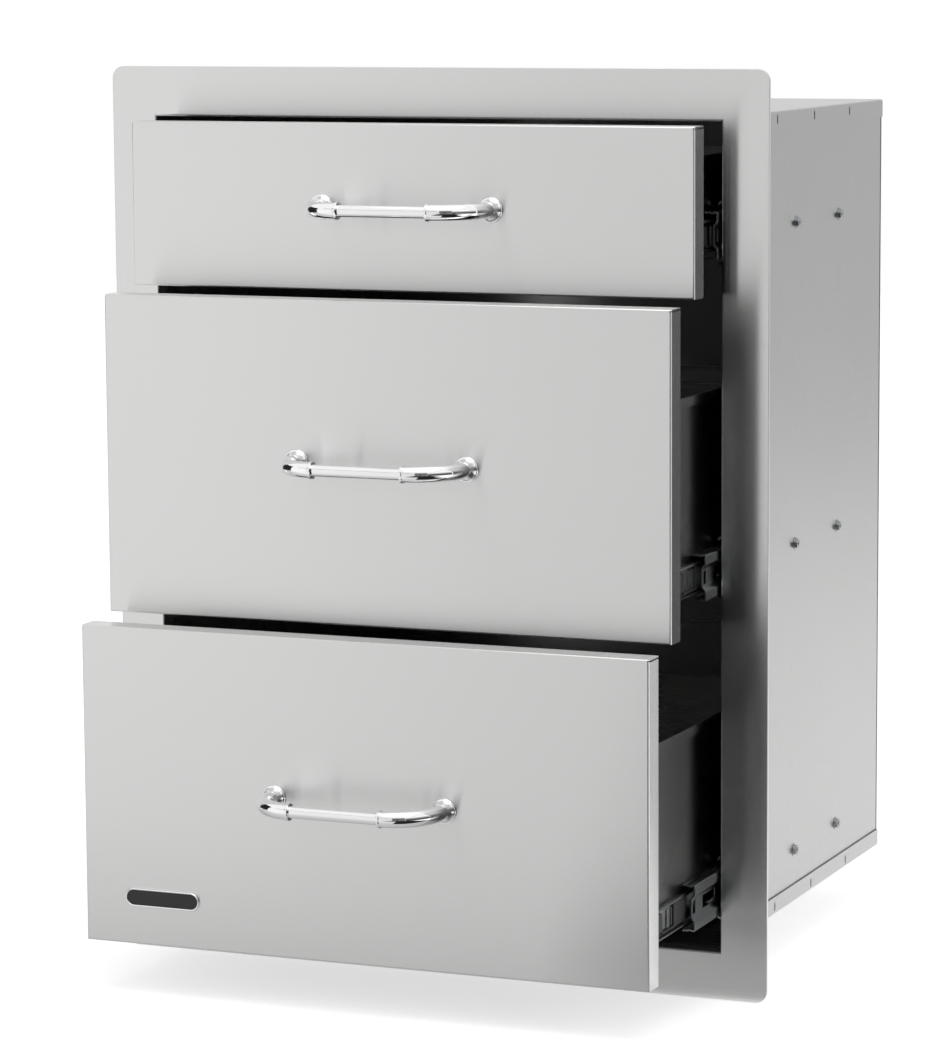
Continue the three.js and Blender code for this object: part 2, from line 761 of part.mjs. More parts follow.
// One drawer at its place: the front, tray and handle with their rails, and on each side the
// carrier rail and the two cages, which follow the drawer at half, a quarter and three quarters
// of its travel.
function drawerUnit({ name, low, height, opening, slideRise, trayTop }) {
  const drawer = placed(new THREE.Group(), 0, -opening, low);
  const carrier = placed(new THREE.Group(), 0, -opening / 2, low + slideRise);
  const outer = placed(new THREE.Group(), 0, -opening / 4, low + slideRise);
  const inner = placed(new THREE.Group(), 0, (-3 * opening) / 4, low + slideRise);
  const rails = placed(new THREE.Group(), 0, 0, slideRise);
  const handle = placed(new THREE.Group(), 0, frameFace - seatGap, height / 2);
  const trayBottom = slideRise - drawerRailHalf;
  drawer.add(
    named(`${name}_drawer_front`, drawerFront(height, height / 2), 'brushed'),
    named(`${name}_drawer_liner`, drawerLiner(height), 'plain'),
    named(`${name}_drawer_tray`, drawerTray(trayBottom, trayTop), 'plain'),
    named(`${name}_drawer_back`, trayBack(trayBottom, trayTop), 'plain'),
    rails,
    handle,
  );
  handle.add(named(`${name}_handle_bar`, handleBar(), 'chrome'));
  for (const [word, side] of [['left', -1], ['right', 1]]) {
    const post = named(`${name}_handle_post_${word}`, handlePost(side), 'chrome');
    handle.add(placed(post, (side * handleSpan) / 2, 0, 0));
    rails.add(named(`${name}_drawer_rail_${word}`, drawerRail(side), 'zinc'));
    carrier.add(named(`${name}_carrier_rail_${word}`, carrierRail(side), 'zinc'));
    outer.add(named(`${name}_outer_cage_${word}`, outerCage(side), 'cage'));
    inner.add(named(`${name}_inner_cage_${word}`, innerCage(side), 'cage'));
  }
  return [drawer, carrier, outer, inner];
}

const bottomLow = openingLow + frontGap;
const middleLow = bottomLow + deepFrontHeight + frontGap;
const topLow = middleLow + deepFrontHeight + frontGap;
const drawers = [
  {
    name: 'top',
    low: topLow,
    height: shallowFrontHeight,
    opening: topOpening,
    slideRise: topSlideRise,
    trayTop: shallowFrontHeight - shallowTrayDrop,
  },
  {
    name: 'middle',
    low: middleLow,
    height: deepFrontHeight,
    opening: middleOpening,
    slideRise: middleSlideRise,
    trayTop: deepFrontHeight - deepTrayDrop,
  },
  {
    name: 'bottom',
    low: bottomLow,
    height: deepFrontHeight,
    opening: bottomOpening,
    slideRise: bottomSlideRise,
    trayTop: deepFrontHeight - deepTrayDrop,
  },
];

const unit = placed(new THREE.Group(), 0, 0, -seatBandMiddle);
const slideHeights = drawers.map(({ low, slideRise }) => low + slideRise);
unit.add(
  named('face_frame', faceFrame(), 'brushed'),
  named('side_panel_left', sidePanel(-1, slideHeights), 'plain'),
  named('side_panel_right', sidePanel(1, slideHeights), 'plain'),
  named('top_cover', topCover(), 'plain'),
  named('bottom_pan', bottomPan(), 'plain'),
  named('back_panel', backPanel(), 'plain'),
);
for (const drawer of drawers) {
  const wallRails = placed(new THREE.Group(), 0, 0, drawer.low + drawer.slideRise);
  wallRails.add(
    named(`${drawer.name}_cabinet_rail_left`, cabinetRail(-1), 'zinc'),
    named(`${drawer.name}_cabinet_rail_right`, cabinetRail(1), 'zinc'),
  );
  unit.add(wallRails, ...drawerUnit(drawer));
}

const part = new THREE.Group();
part.add(unit);

export default part;
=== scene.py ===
import json
import math

import bmesh
import bpy
from bpy.props import (
    FloatProperty,
    FloatVectorProperty,
    IntProperty,
    PointerProperty,
)
from mathutils import Matrix, Vector


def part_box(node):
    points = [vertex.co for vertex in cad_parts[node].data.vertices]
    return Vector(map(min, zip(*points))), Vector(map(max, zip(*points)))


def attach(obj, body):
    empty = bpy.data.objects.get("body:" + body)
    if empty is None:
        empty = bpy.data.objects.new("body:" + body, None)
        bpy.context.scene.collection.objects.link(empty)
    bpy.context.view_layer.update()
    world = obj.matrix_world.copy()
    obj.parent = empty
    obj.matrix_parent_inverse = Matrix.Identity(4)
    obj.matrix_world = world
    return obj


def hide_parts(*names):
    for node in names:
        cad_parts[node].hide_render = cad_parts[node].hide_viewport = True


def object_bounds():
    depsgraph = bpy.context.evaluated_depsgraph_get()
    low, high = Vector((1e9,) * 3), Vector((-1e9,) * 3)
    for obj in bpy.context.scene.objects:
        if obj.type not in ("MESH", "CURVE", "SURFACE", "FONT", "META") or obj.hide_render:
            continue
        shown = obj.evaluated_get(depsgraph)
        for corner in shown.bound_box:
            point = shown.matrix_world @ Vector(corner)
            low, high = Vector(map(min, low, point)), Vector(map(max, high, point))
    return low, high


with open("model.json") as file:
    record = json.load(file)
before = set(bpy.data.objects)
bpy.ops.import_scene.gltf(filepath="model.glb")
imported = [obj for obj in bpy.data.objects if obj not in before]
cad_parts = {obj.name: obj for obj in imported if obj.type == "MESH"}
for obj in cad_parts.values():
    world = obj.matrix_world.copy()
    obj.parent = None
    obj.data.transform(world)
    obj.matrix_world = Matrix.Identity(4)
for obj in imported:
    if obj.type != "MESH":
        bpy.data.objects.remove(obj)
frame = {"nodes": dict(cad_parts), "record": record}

bl_info = {
    "name": "Outdoor kitchen drawer unit",
    "version": (1, 0, 0),
    "blender": (4, 5, 0),
    "location": "3D View > Sidebar > Drawer unit",
    "description": "Dresses a built-in steel drawer unit with three drawers on ball bearing slides",
    "category": "Object",
}

CAD_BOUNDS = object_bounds()
MM = 0.001

LEVELS = ("top", "middle", "bottom")
SIDES = {"left": -1, "right": 1}

# Sheets, as the frame's CAD nodes have them
FRAME_SHEET = 1.2 * MM
FRONT_SHEET = 1.0 * MM
CABINET_SHEET = 1.0 * MM
SEAT_GAP = 0.3 * MM
OPENING_HALF = 218.9 * MM
BOTTOM_RAIL = 34.6 * MM
TOP_RAIL = 36.5 * MM
PANEL_FACE = 221.7 * MM
POST_PLACE = 65 * MM

# Slides, measured from the cabinet wall towards the tray
SLIDE_FACE = 220.1 * MM
SLIDE_THICKNESS = 12.7 * MM
CABINET_RAIL_HALF = 22.75 * MM
CARRIER_RAIL_HALF = 16.7 * MM
DRAWER_RAIL_HALF = 11.4 * MM
RAIL_SHEET = 1.2 * MM
CAGE_GAP = 0.35 * MM
CAGE_SHEET = 0.5 * MM
CARRIER_FACE = RAIL_SHEET + 2 * CAGE_GAP + CAGE_SHEET
CARRIER_STEP = 2.6 * MM
OUTER_BALL_PLACE = 6.6 * MM
INNER_BALL_PLACE = 10 * MM
STUD_PLACES = (140.7 * MM, 242.7 * MM)

# Where the slots in the cover's and the pan's lips lie, from front to back
LIP_SLOTS = (109.5 * MM, 195.5 * MM, 281.5 * MM)

# The blank plate's left, right, lower and upper ends on the bottom drawer's front
PLATE = (-183.3 * MM, -125.0 * MM, 60.2 * MM, 73.3 * MM)

# How finely bends are drawn, and which edges are broken or stay sharp
FOLD_STEPS = 8
TRUMPET_STEPS = 14
ELBOW_STEPS = 24
BROKEN_ANGLE = math.radians(50)
SHARP_ANGLE = math.radians(35)

# The camera that stood in front of the unit
CAMERA_PLACE = (1.15818, -2.70462, 0.72896)
CAMERA_TURN = (82.19616, 0.36330, 22.56485)
CAMERA_LENS = 140.807
CAMERA_SENSOR = 36

# The floor, and the cards and cloths that stand or lie out of view: middle, size, tip and turn
# in degrees, shade and fades
GROUND = CAD_BOUNDS[0][2]
FLOOR_HALF = 6.0
TO_THE_RIGHT = ((1.0, -0.43, 0.0), -0.45, 0.5, 1.0, 0.82)
STUDIO_CARDS = (
    ("front_wall", (-0.75, -3.3, 1.0), (2.9, 2.6), (90, 0), 1.0, TO_THE_RIGHT),
    ("front_floor", (-0.7, -1.66, GROUND + 0.2 * MM), (2.4, 3.3), (0, 0), 1.0, TO_THE_RIGHT,
     ((0.0, -1.0, 0.0), 0.0, 0.7, 0.52, 1.0)),
    ("camera_wall", (1.45, -3.05, 1.1), (1.7, 2.2), (90, -23), 0.18),
    ("camera_stand", (1.16, -2.72, 0.6), (0.09, 1.1), (90, -23), 0.02),
    ("camera_boom", (0.72, -2.81, 0.75), (0.9, 0.06), (90, -14), 0.03),
    ("camera_floor", (0.95, -1.85, GROUND + 0.4 * MM), (1.2, 2.6), (0, -23), 0.14,
     ((0.39, -0.92, 0.0), 1.0, 2.1, 0.05, 1.0)),
    ("camera_floor_near", (0.40, -0.50, GROUND + 0.6 * MM), (0.46, 0.62), (0, -23), 0.02),
    ("left_screen", (-1.7, -0.1, 0.6), (1.0, 1.2), (90, 90), 0.02),
    ("right_screen", (1.75, -0.75, 0.75), (2.0, 1.5), (90, -67), 1.0,
     ((0.0, 0.0, 1.0), 0.45, 1.5, 0.08, 1.0)),
    ("ceiling_gap", (-1.1, -2.3, 1.75), (3.0, 0.16), (90, 26), 0.02),
    ("card_behind", (0.505, 0.5, 0.24), (0.1, 0.46), (90, 0), 0.2),
    ("wall_behind", (1.4, 2.5, 0.75), (2.0, 1.5), (90, 23), 0.74),
    ("bright_wall_behind", (-1.2, 2.8, 1.6), (2.4, 1.8), (90, -23), 1.0),
)


# Sizes and colours that a user would change

class SheetSettings(bpy.types.PropertyGroup):
    """Bends and edges of the folded sheets."""

    front_bend: FloatProperty(
        name="Front bend", description="Outer radius of a drawer front's folded edges",
        default=1.4 * MM, min=1.1 * MM, unit="LENGTH")
    front_corner_slit: FloatProperty(
        name="Front corner slit", description="Width of the slit left at a drawer front's corners",
        default=1.1 * MM, min=0.1 * MM, unit="LENGTH")
    frame_corner: FloatProperty(
        name="Frame corner", description="Radius of the face frame's outer corners",
        default=8.8 * MM, min=4 * MM, unit="LENGTH")
    opening_bend: FloatProperty(
        name="Opening bend", description="Outer radius of the folded edges round the opening",
        default=2.0 * MM, min=0.4 * MM, unit="LENGTH")
    rim_corner: FloatProperty(
        name="Rim corner", description="Radius of the pressed edges of the hem",
        default=0.45 * MM, min=0.1 * MM, unit="LENGTH")
    hem_width: FloatProperty(
        name="Hem width", description="Width of the hem folded flat behind the face frame's rim",
        default=10 * MM, min=4 * MM, unit="LENGTH")
    edge_break: FloatProperty(
        name="Edge break", description="Width of the deburred edge of a cut sheet",
        default=0.12 * MM, min=0.0, unit="LENGTH")


class HandleSettings(bpy.types.PropertyGroup):
    """Turned and bent parts of the handles."""

    tube_radius: FloatProperty(
        name="Tube radius", description="Radius of the bent tube of a handle post",
        default=5.7 * MM, min=2 * MM, unit="LENGTH")
    bar_radius: FloatProperty(
        name="Bar radius", description="Radius of the straight bar between the posts",
        default=4.3 * MM, min=2 * MM, unit="LENGTH")
    elbow_radius: FloatProperty(
        name="Elbow radius", description="Radius of the bend in a handle post",
        default=31.2 * MM, min=8 * MM, unit="LENGTH")
    flange_radius: FloatProperty(
        name="Flange radius", description="Radius of the trumpet flange on the drawer front",
        default=8.9 * MM, min=6 * MM, unit="LENGTH")
    collar_radius: FloatProperty(
        name="Collar radius", description="Radius of the collar round the end of a post",
        default=6.3 * MM, min=3 * MM, unit="LENGTH")


class SlideSettings(bpy.types.PropertyGroup):
    """Ball bearing slides."""

    balls_per_row: IntProperty(
        name="Balls in a row", description="Number of steel balls in each row of a cage",
        default=9, min=2, max=24)
    # The lever reaches to its black block, which stands in for the shade inside the rail's channel:
    # painted shade.
    lever_and_shade_block_length: FloatProperty(
        name="Lever length", description="Length of the plastic lever that releases a drawer",
        default=44 * MM, min=20 * MM, unit="LENGTH")


class FinishSettings(bpy.types.PropertyGroup):
    """Colours of the metals and of the plastic."""

    brushed_colour: FloatVectorProperty(
        name="Brushed steel", description="Colour of the face frame and the drawer fronts",
        default=(0.70, 0.70, 0.695), subtype="COLOR", min=0, max=1)
    plain_colour: FloatVectorProperty(
        name="Plain steel", description="Colour of the cabinet sheets and the trays",
        default=(0.44, 0.44, 0.437), subtype="COLOR", min=0, max=1)
    zinc_colour: FloatVectorProperty(
        name="Zinc", description="Colour of the plated slide rails",
        default=(0.36, 0.37, 0.38), subtype="COLOR", min=0, max=1)
    cage_colour: FloatVectorProperty(
        name="Cage steel", description="Colour of the greased ball cages",
        default=(0.20, 0.20, 0.21), subtype="COLOR", min=0, max=1)
    chrome_colour: FloatVectorProperty(
        name="Chrome", description="Colour of the plated handles",
        default=(0.90, 0.90, 0.905), subtype="COLOR", min=0, max=1)
    # This black also colours the block on each lever that stands in for the shade inside the rail's
    # channel: painted shade.
    plastic_and_shade_block_colour: FloatVectorProperty(
        name="Black plastic", description="Colour of the release levers",
        default=(0.015, 0.015, 0.016), subtype="COLOR", min=0, max=1)


class StudioSettings(bpy.types.PropertyGroup):
    """Floor, lamps and surroundings."""

    floor_colour: FloatVectorProperty(
        name="Floor", description="Colour of the studio floor",
        default=(0.86, 0.86, 0.86), subtype="COLOR", min=0, max=1)
    floor_glow: FloatProperty(
        name="Floor glow", description="How far the floor is lifted to white where it is seen",
        default=0.58, min=0.0)
    ambient: FloatProperty(
        name="Ambient", description="Strength of the light from all sides",
        default=0.6, min=0.0)
    overhead: FloatProperty(
        name="Overhead lamp", description="Power of the lamp above the unit",
        default=12.0, min=0.0)
    side: FloatProperty(
        name="Side lamp", description="Power of the lamp on the right",
        default=7.0, min=0.0)


# Drawing helpers: middle lines, outlines and swept or turned forms

def rounded_line(corners, radius, steps):
    """A line through the given corners with each one rounded to the radius."""
    corners = [Vector(c) for c in corners]
    line = [corners[0]]
    for before, corner, after in zip(corners, corners[1:], corners[2:]):
        come = (corner - before).normalized()
        go = (after - corner).normalized()
        turn = math.atan2(come.x * go.y - come.y * go.x, come.dot(go))
        half = math.tan(abs(turn) / 2)
        room = min((corner - before).length, (after - corner).length) / 2
        tangent = min(radius * half, room)
        bend = tangent / half
        side = math.copysign(1, turn)
        start = corner - come * tangent
        normal = Vector((-come.y, come.x))
        centre = start + normal * side * bend
        for k in range(steps + 1):
            angle = turn * k / steps
            spun = Vector((normal.x * math.cos(angle) - normal.y * math.sin(angle),
                           normal.x * math.sin(angle) + normal.y * math.cos(angle)))
            line.append(centre - spun * side * bend)
    line.append(corners[-1])
    return line


def folded_outline(corners, thickness, bend, steps):
    """Closed outline of a folded strip: its middle line thickened to both sides."""
    line = rounded_line(corners, bend + thickness / 2, steps)
    left, right = [], []
    for i, point in enumerate(line):
        before = (point - line[i - 1]).normalized() if i else None
        after = (line[i + 1] - point).normalized() if i + 1 < len(line) else None
        before = before or after
        after = after or before
        normal = Vector((-before.y - after.y, before.x + after.x)).normalized()
        reach = thickness / 2 / max(normal.dot(Vector((-after.y, after.x))), 0.5)
        left.append(point + normal * reach)
        right.append(point - normal * reach)
    return left + right[::-1]


def mirrored(path):
    return list(path) + [(a, -b) for a, b in reversed(path)]


def along_x(a, b, c):
    return Vector((c, a, b))


def along_y(a, b, c):
    return Vector((a, c, b))


def along_z(a, b, c):
    return Vector((a, b, c))


def bridged(form, one, two):
    """Faces all round between two rings of as many points."""
    count = len(one)
    return [form.faces.new((one[i], one[(i + 1) % count], two[(i + 1) % count], two[i]))
            for i in range(count)]


def capped(form, rings):
    """Closes the rings, one after the other, into a form with two flat ends."""
    faces = [face for one, two in zip(rings, rings[1:]) for face in bridged(form, one, two)]
    faces += [form.faces.new(rings[0][::-1]), form.faces.new(rings[-1])]
    bmesh.ops.recalc_face_normals(form, faces=faces)
    return form


def swept(form, outline, place, low, high, folded=False):
    """Adds the closed outline, swept from low to high; a folded strip gets its ends in quads."""
    rings = [[form.verts.new(place(p[0], p[1], c)) for p in outline] for c in (low, high)]
    if not folded:
        return capped(form, rings)
    last = len(outline) - 1
    faces = bridged(form, *rings)
    for ring in rings:
        faces += [form.faces.new((ring[i], ring[i + 1], ring[last - 1 - i], ring[last - i]))
                  for i in range(last // 2)]
    bmesh.ops.recalc_face_normals(form, faces=faces)
    return form


def circle(sides):
    return [2 * math.pi * i / sides for i in range(sides)]


def turned(form, profile, axis, origin, sides):
    """Adds a form turned about an axis: the profile is radius and place along the axis."""
    axis = Vector(axis).normalized()
    across = axis.orthogonal().normalized()
    over = axis.cross(across)
    rings = []
    for radius, place in profile:
        middle = Vector(origin) + axis * place
        spokes = circle(sides) if radius > 0 else [0.0]
        rings.append([form.verts.new(middle + (across * math.cos(t) + over * math.sin(t)) * radius)
                      for t in spokes])
    faces = []
    for one, two in zip(rings, rings[1:]):
        for i in range(sides):
            j = (i + 1) % sides
            loop = [one[i % len(one)], one[j % len(one)], two[j % len(two)], two[i % len(two)]]
            loop = list(dict.fromkeys(loop))
            if len(loop) > 2:
                faces.append(form.faces.new(loop))
    bmesh.ops.recalc_face_normals(form, faces=faces)
    return form


def tube(form, line, radius, sides):
    """Adds a round tube along a line that lies in a level plane."""
    up = Vector((0, 0, 1))
    rings = []
    for i, point in enumerate(line):
        ahead = (line[min(i + 1, len(line) - 1)] - line[max(i - 1, 0)]).normalized()
        across = ahead.cross(up).normalized()
        rings.append([form.verts.new(point + (across * math.cos(t) + up * math.sin(t)) * radius)
                      for t in circle(sides)])
    return capped(form, rings)


def block(form, low, high):
    """Adds a plain block, used as a cutter for holes and slots."""
    outline = [(low[0], low[1]), (high[0], low[1]), (high[0], high[1]), (low[0], high[1])]
    return swept(form, outline, along_z, low[2], high[2])


class Skin:
    """The outer surface of a sheet, made of strips whose equal corners are welded."""

    def __init__(self):
        self.form = bmesh.new()
        self.corners = {}

    def corner(self, point):
        key = tuple(round(value * 1e7) for value in point)
        if key not in self.corners:
            self.corners[key] = self.form.verts.new(point)
        return self.corners[key]

    def face(self, points):
        return self.form.faces.new([self.corner(p) for p in points])

    def strip(self, rows):
        for one, two in zip(rows, rows[1:]):
            for i in range(len(one) - 1):
                self.face((one[i], one[i + 1], two[i + 1], two[i]))


def new_object(name, form):
    mesh = bpy.data.meshes.new(name)
    form.to_mesh(mesh)
    form.free()
    made = bpy.data.objects.new(name, mesh)
    bpy.context.scene.collection.objects.link(made)
    return made


def modified(made, kind, **values):
    """Applies a modifier with these values to the object's mesh."""
    step = made.modifiers.new(kind.lower(), kind)
    for name, value in values.items():
        setattr(step, name, value)
    depsgraph = bpy.context.evaluated_depsgraph_get()
    depsgraph.update()
    result = bpy.data.meshes.new_from_object(made.evaluated_get(depsgraph), depsgraph=depsgraph)
    spare = made.data
    made.modifiers.clear()
    made.data = result
    result.name = made.name
    bpy.data.meshes.remove(spare)
    return made


def cut_out(made, cutter, operation="DIFFERENCE"):
    """Cuts the form of the cutter out of the object, or joins it on."""
    tool = new_object(made.name + "_cutter", cutter)
    modified(made, "BOOLEAN", operation=operation, solver="EXACT", object=tool)
    spare = tool.data
    bpy.data.objects.remove(tool)
    bpy.data.meshes.remove(spare)
    return made


def shaded(made, edge_break=0.0):
    """Breaks the sharp edges, smooths the bends and keeps the flats flat."""
    if edge_break > 0:
        modified(made, "BEVEL", width=edge_break, segments=2, limit_method="ANGLE",
                 angle_limit=BROKEN_ANGLE, use_clamp_overlap=True, harden_normals=False)
    for polygon in made.data.polygons:
        polygon.use_smooth = True
    made.data.set_sharp_from_angle(angle=SHARP_ANGLE)
    return modified(made, "WEIGHTED_NORMAL", mode="FACE_AREA", keep_sharp=True)


def thickened(made, thickness):
    """Gives a skin its thickness, inwards."""
    return modified(made, "SOLIDIFY", thickness=thickness, offset=-1, use_even_offset=True,
                    use_quality_normals=True)


def edited(made, change):
    """Lets the change add to the object's mesh as an open form."""
    form = bmesh.new()
    form.from_mesh(made.data)
    change(form)
    form.to_mesh(made.data)
    form.free()


def place_piece(made, body, slot, *nodes, edge_break=0.0):
    """Shades a piece, and gives it its finish, its body and the CAD nodes that it stands for."""
    shaded(made, edge_break)
    made.data.materials.clear()
    made.data.materials.append(finish(slot))
    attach(made, body)
    if nodes:
        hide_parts(*nodes)
    return made


# Finishes

def node_group(name, inputs, outputs):
    """A new shader node group: the wiring in it, its inputs and its outputs."""
    group = bpy.data.node_groups.new(name, "ShaderNodeTree")
    for label, kind, default in inputs:
        socket = group.interface.new_socket(name=label, in_out="INPUT",
                                            socket_type="NodeSocket" + kind)
        if default is not None:
            socket.default_value = default
    for label in outputs:
        group.interface.new_socket(name=label, in_out="OUTPUT", socket_type="NodeSocketFloat")
    ends = [group.nodes.new(kind) for kind in ("NodeGroupInput", "NodeGroupOutput")]
    return Wiring(group), ends[0].outputs, ends[1].inputs


class Wiring:
    """Adds nodes to a tree, and gives their inputs values or links."""

    def __init__(self, tree):
        self.tree = tree

    def give(self, inputs, values):
        """Sets or links the inputs, which the values name or number."""
        for name, value in values.items():
            if isinstance(value, bpy.types.NodeSocket):
                self.tree.links.new(value, inputs[name])
            else:
                inputs[name].default_value = value

    def add(self, kind, inputs=None, **settings):
        """Adds a shader node and returns its outputs."""
        node = self.tree.nodes.new("ShaderNode" + kind)
        for name, value in settings.items():
            setattr(node, name, value)
        self.give(node.inputs, inputs or {})
        return node.outputs

    def sum(self, operation, *values):
        return self.add("Math", dict(enumerate(values)), operation=operation)[0]

    def vectors(self, operation, *values):
        return self.add("VectorMath", dict(enumerate(values)), operation=operation)

    def mixed(self, first, second, share):
        """A colour between two colours."""
        return self.add("Mix", {"A": first, "B": second, "Factor": share},
                        data_type="RGBA")["Result"]

    def around(self, value, reach, middle):
        """Turns a value round one half into one round the middle, with this reach."""
        return self.sum("MULTIPLY_ADD", self.sum("SUBTRACT", value, 0.5), reach, middle)

    def blend(self, first, second):
        """About a third of the first value and two thirds of the second."""
        return self.sum("MULTIPLY_ADD", first, 0.35, self.sum("MULTIPLY", second, 0.65))

    def noise(self, vector, stretch, detail=2.0, roughness=0.5):
        """A cloud with this many cells to the metre along X, Y and Z."""
        return self.add("TexNoise", {
            "Vector": self.vectors("MULTIPLY", vector, stretch)[0], "Scale": 1.0,
            "Detail": detail, "Roughness": roughness})["Fac"]

    def group(self, name, maker, inputs):
        """The outputs of the shared node group with this name, which is made once."""
        if name not in bpy.data.node_groups:
            maker(name)
        return self.add("Group", inputs, node_tree=bpy.data.node_groups[name])


def brushed_grain_group(name):
    """Fine lines left by the brushing belt, with slower bands across them."""
    wiring, source, result = node_group(
        name, (("Vector", "Vector", None), ("Grain", "Float", 1.0)), ("Lines", "Bands", "Cloud"))
    vector, grain = source["Vector"], source["Grain"]
    fine = wiring.noise(vector, (9.0, 2600.0, 2600.0), 2.0, 0.6)
    long = wiring.noise(vector, (3.0, 420.0, 420.0), 2.0, 0.55)
    wiring.give(result, {"Lines": wiring.around(fine, grain, 0.5),
                         "Bands": wiring.around(long, grain, 0.5),
                         "Cloud": wiring.noise(vector, (4.0, 7.0, 9.0))})


def plating_bloom_group(name):
    """The mottled colour, the cloudy bloom and the fine grain of plated or greased steel."""
    wiring, source, result = node_group(
        name, (("Vector", "Vector", None), ("Cell Scale", "Float", 250.0)),
        ("Mottle", "Bloom", "Fine"))
    vector = source["Vector"]
    cells = wiring.add("TexVoronoi", {"Scale": source["Cell Scale"], "Vector": vector})
    bloom = wiring.noise(vector, (60.0, 25.0, 60.0), 3.0, 0.6)
    wiring.give(result, {"Mottle": wiring.blend(cells["Distance"], bloom), "Bloom": bloom,
                         "Fine": wiring.noise(vector, (1500.0, 300.0, 1500.0), 2.0, 0.6)})


def edge_wear_group(name):
    """A mask that is one along worn edges and zero on the open surface."""
    wiring, source, result = node_group(
        name, (("Width", "Float", 0.6 * MM), ("Amount", "Float", 1.0)), ("Mask",))
    bevel = wiring.add("Bevel", {"Radius": source["Width"]}, samples=4)
    normal = wiring.add("NewGeometry")["Normal"]
    likeness = wiring.vectors("DOT_PRODUCT", normal, bevel["Normal"])["Value"]
    gap = wiring.sum("MULTIPLY", wiring.sum("SUBTRACT", 1.0, likeness), 6.0)
    mask = wiring.sum("MULTIPLY", gap, source["Amount"])
    wiring.give(result, {"Mask": wiring.add("Clamp", {"Value": mask})["Result"]})


def new_material(name, values):
    """A new material: itself, its wiring and the inputs of its shader, some of them set."""
    material = bpy.data.materials.new(name)
    material.use_nodes = True
    shader = material.node_tree.nodes["Principled BSDF"].inputs
    wiring = Wiring(material.node_tree)
    wiring.give(shader, values)
    return material, wiring, shader


def object_vector(wiring):
    return wiring.add("TexCoord")["Object"]


def scaled(colour, factor):
    """The colour, made darker or lighter but no lighter than white."""
    return [min(c * factor, 1) for c in colour] + [1]


def tinted(wiring, colour, spread, value):
    """The colour, a little darker or lighter with the value."""
    return wiring.mixed(scaled(colour, 1 - spread), scaled(colour, 1 + spread), value)


def grain_direction(wiring):
    """The grain runs level round the upright faces, and from side to side on the level ones."""
    normal = wiring.add("TexCoord")["Normal"]
    level = wiring.vectors("CROSS_PRODUCT", normal, (0, 0, 1))[0]
    height = wiring.add("SeparateXYZ", {0: normal})["Z"]
    share = wiring.sum("POWER", wiring.sum("ABSOLUTE", height), 6.0)
    side = wiring.add("CombineXYZ", {"X": wiring.sum("MULTIPLY", share, -1.0)})[0]
    return wiring.add("VectorTransform", {0: wiring.vectors("ADD", level, side)[0]},
                      vector_type="VECTOR", convert_from="OBJECT", convert_to="WORLD")[0]


def worn(wiring, colour, spread, value, wear, lift):
    """The colour, tinted with the value and lifted along worn edges."""
    mask = wiring.group("edge wear", edge_wear_group, {"Amount": wear})["Mask"]
    return wiring.mixed(tinted(wiring, colour, spread, value), scaled(colour, lift), mask)


def finished(made, colour, rough, height, strength, distance=0.05 * MM):
    """Joins up a material's colour, roughness and relief."""
    material, wiring, shader = made
    relief = wiring.add("Bump", {"Strength": strength, "Distance": distance, "Height": height})
    wiring.give(shader, {"Base Color": colour, "Roughness": rough, "Normal": relief["Normal"]})
    return material


def steel(name, colour, roughness, anisotropy, grain, spread, bump):
    """Sheet steel with a rolled or brushed grain along the unit."""
    made = new_material(name, {
        "Metallic": 1.0, "Anisotropic": anisotropy, "Anisotropic Rotation": 0.25})
    wiring = made[1]
    wiring.give(made[2], {"Tangent": grain_direction(wiring)})
    lines, bands, cloud = wiring.group("brushed grain", brushed_grain_group, {
        "Vector": object_vector(wiring), "Grain": grain})
    rough = wiring.around(cloud, 0.08, wiring.around(lines, 0.05, roughness))
    colour = worn(wiring, colour, spread, wiring.blend(bands, cloud), 0.25, 1.22)
    return finished(made, colour, rough, lines, bump)


def plated(name, colour, roughness, metallic=1.0, cell=4 * MM, spread=0.05, bump=0.08):
    """Plated or greased steel with a faint mottled bloom."""
    made = new_material(name, {"Metallic": metallic})
    wiring = made[1]
    mottle, bloom, fine = wiring.group("plating bloom", plating_bloom_group, {
        "Vector": object_vector(wiring), "Cell Scale": 1 / cell})
    colour = worn(wiring, colour, spread, mottle, 0.35, 1.3)
    return finished(made, colour, wiring.around(bloom, 0.18, roughness), fine, bump)


def chrome(name, colour):
    """Polished plating with the faintest wiping marks."""
    made = new_material(name, {"Metallic": 1.0})
    wiring = made[1]
    vector = object_vector(wiring)
    smudge = wiring.noise(vector, (45.0, 45.0, 45.0), 3.0, 0.6)
    wipe = wiring.noise(vector, (220.0, 900.0, 900.0))
    rough = wiring.sum("MULTIPLY_ADD", smudge, 0.035, 0.03)
    return finished(made, tinted(wiring, colour, 0.015, smudge), rough, wipe, 0.02, 0.02 * MM)


def moulded_plastic(name, colour, roughness):
    """Black plastic with fine pores and greyed edges."""
    made = new_material(name, {})
    wiring = made[1]
    vector = object_vector(wiring)
    pores = wiring.noise(vector, (2200.0, 2200.0, 2200.0), 2.0, 0.6)
    cloud = wiring.noise(vector, (90.0, 90.0, 90.0))
    rough = wiring.sum("MULTIPLY_ADD", cloud, 0.12, roughness)
    return finished(made, worn(wiring, colour, 0.25, cloud, 0.5, 3.0), rough, pores, 0.15, 0.1 * MM)


FINISHES = {}


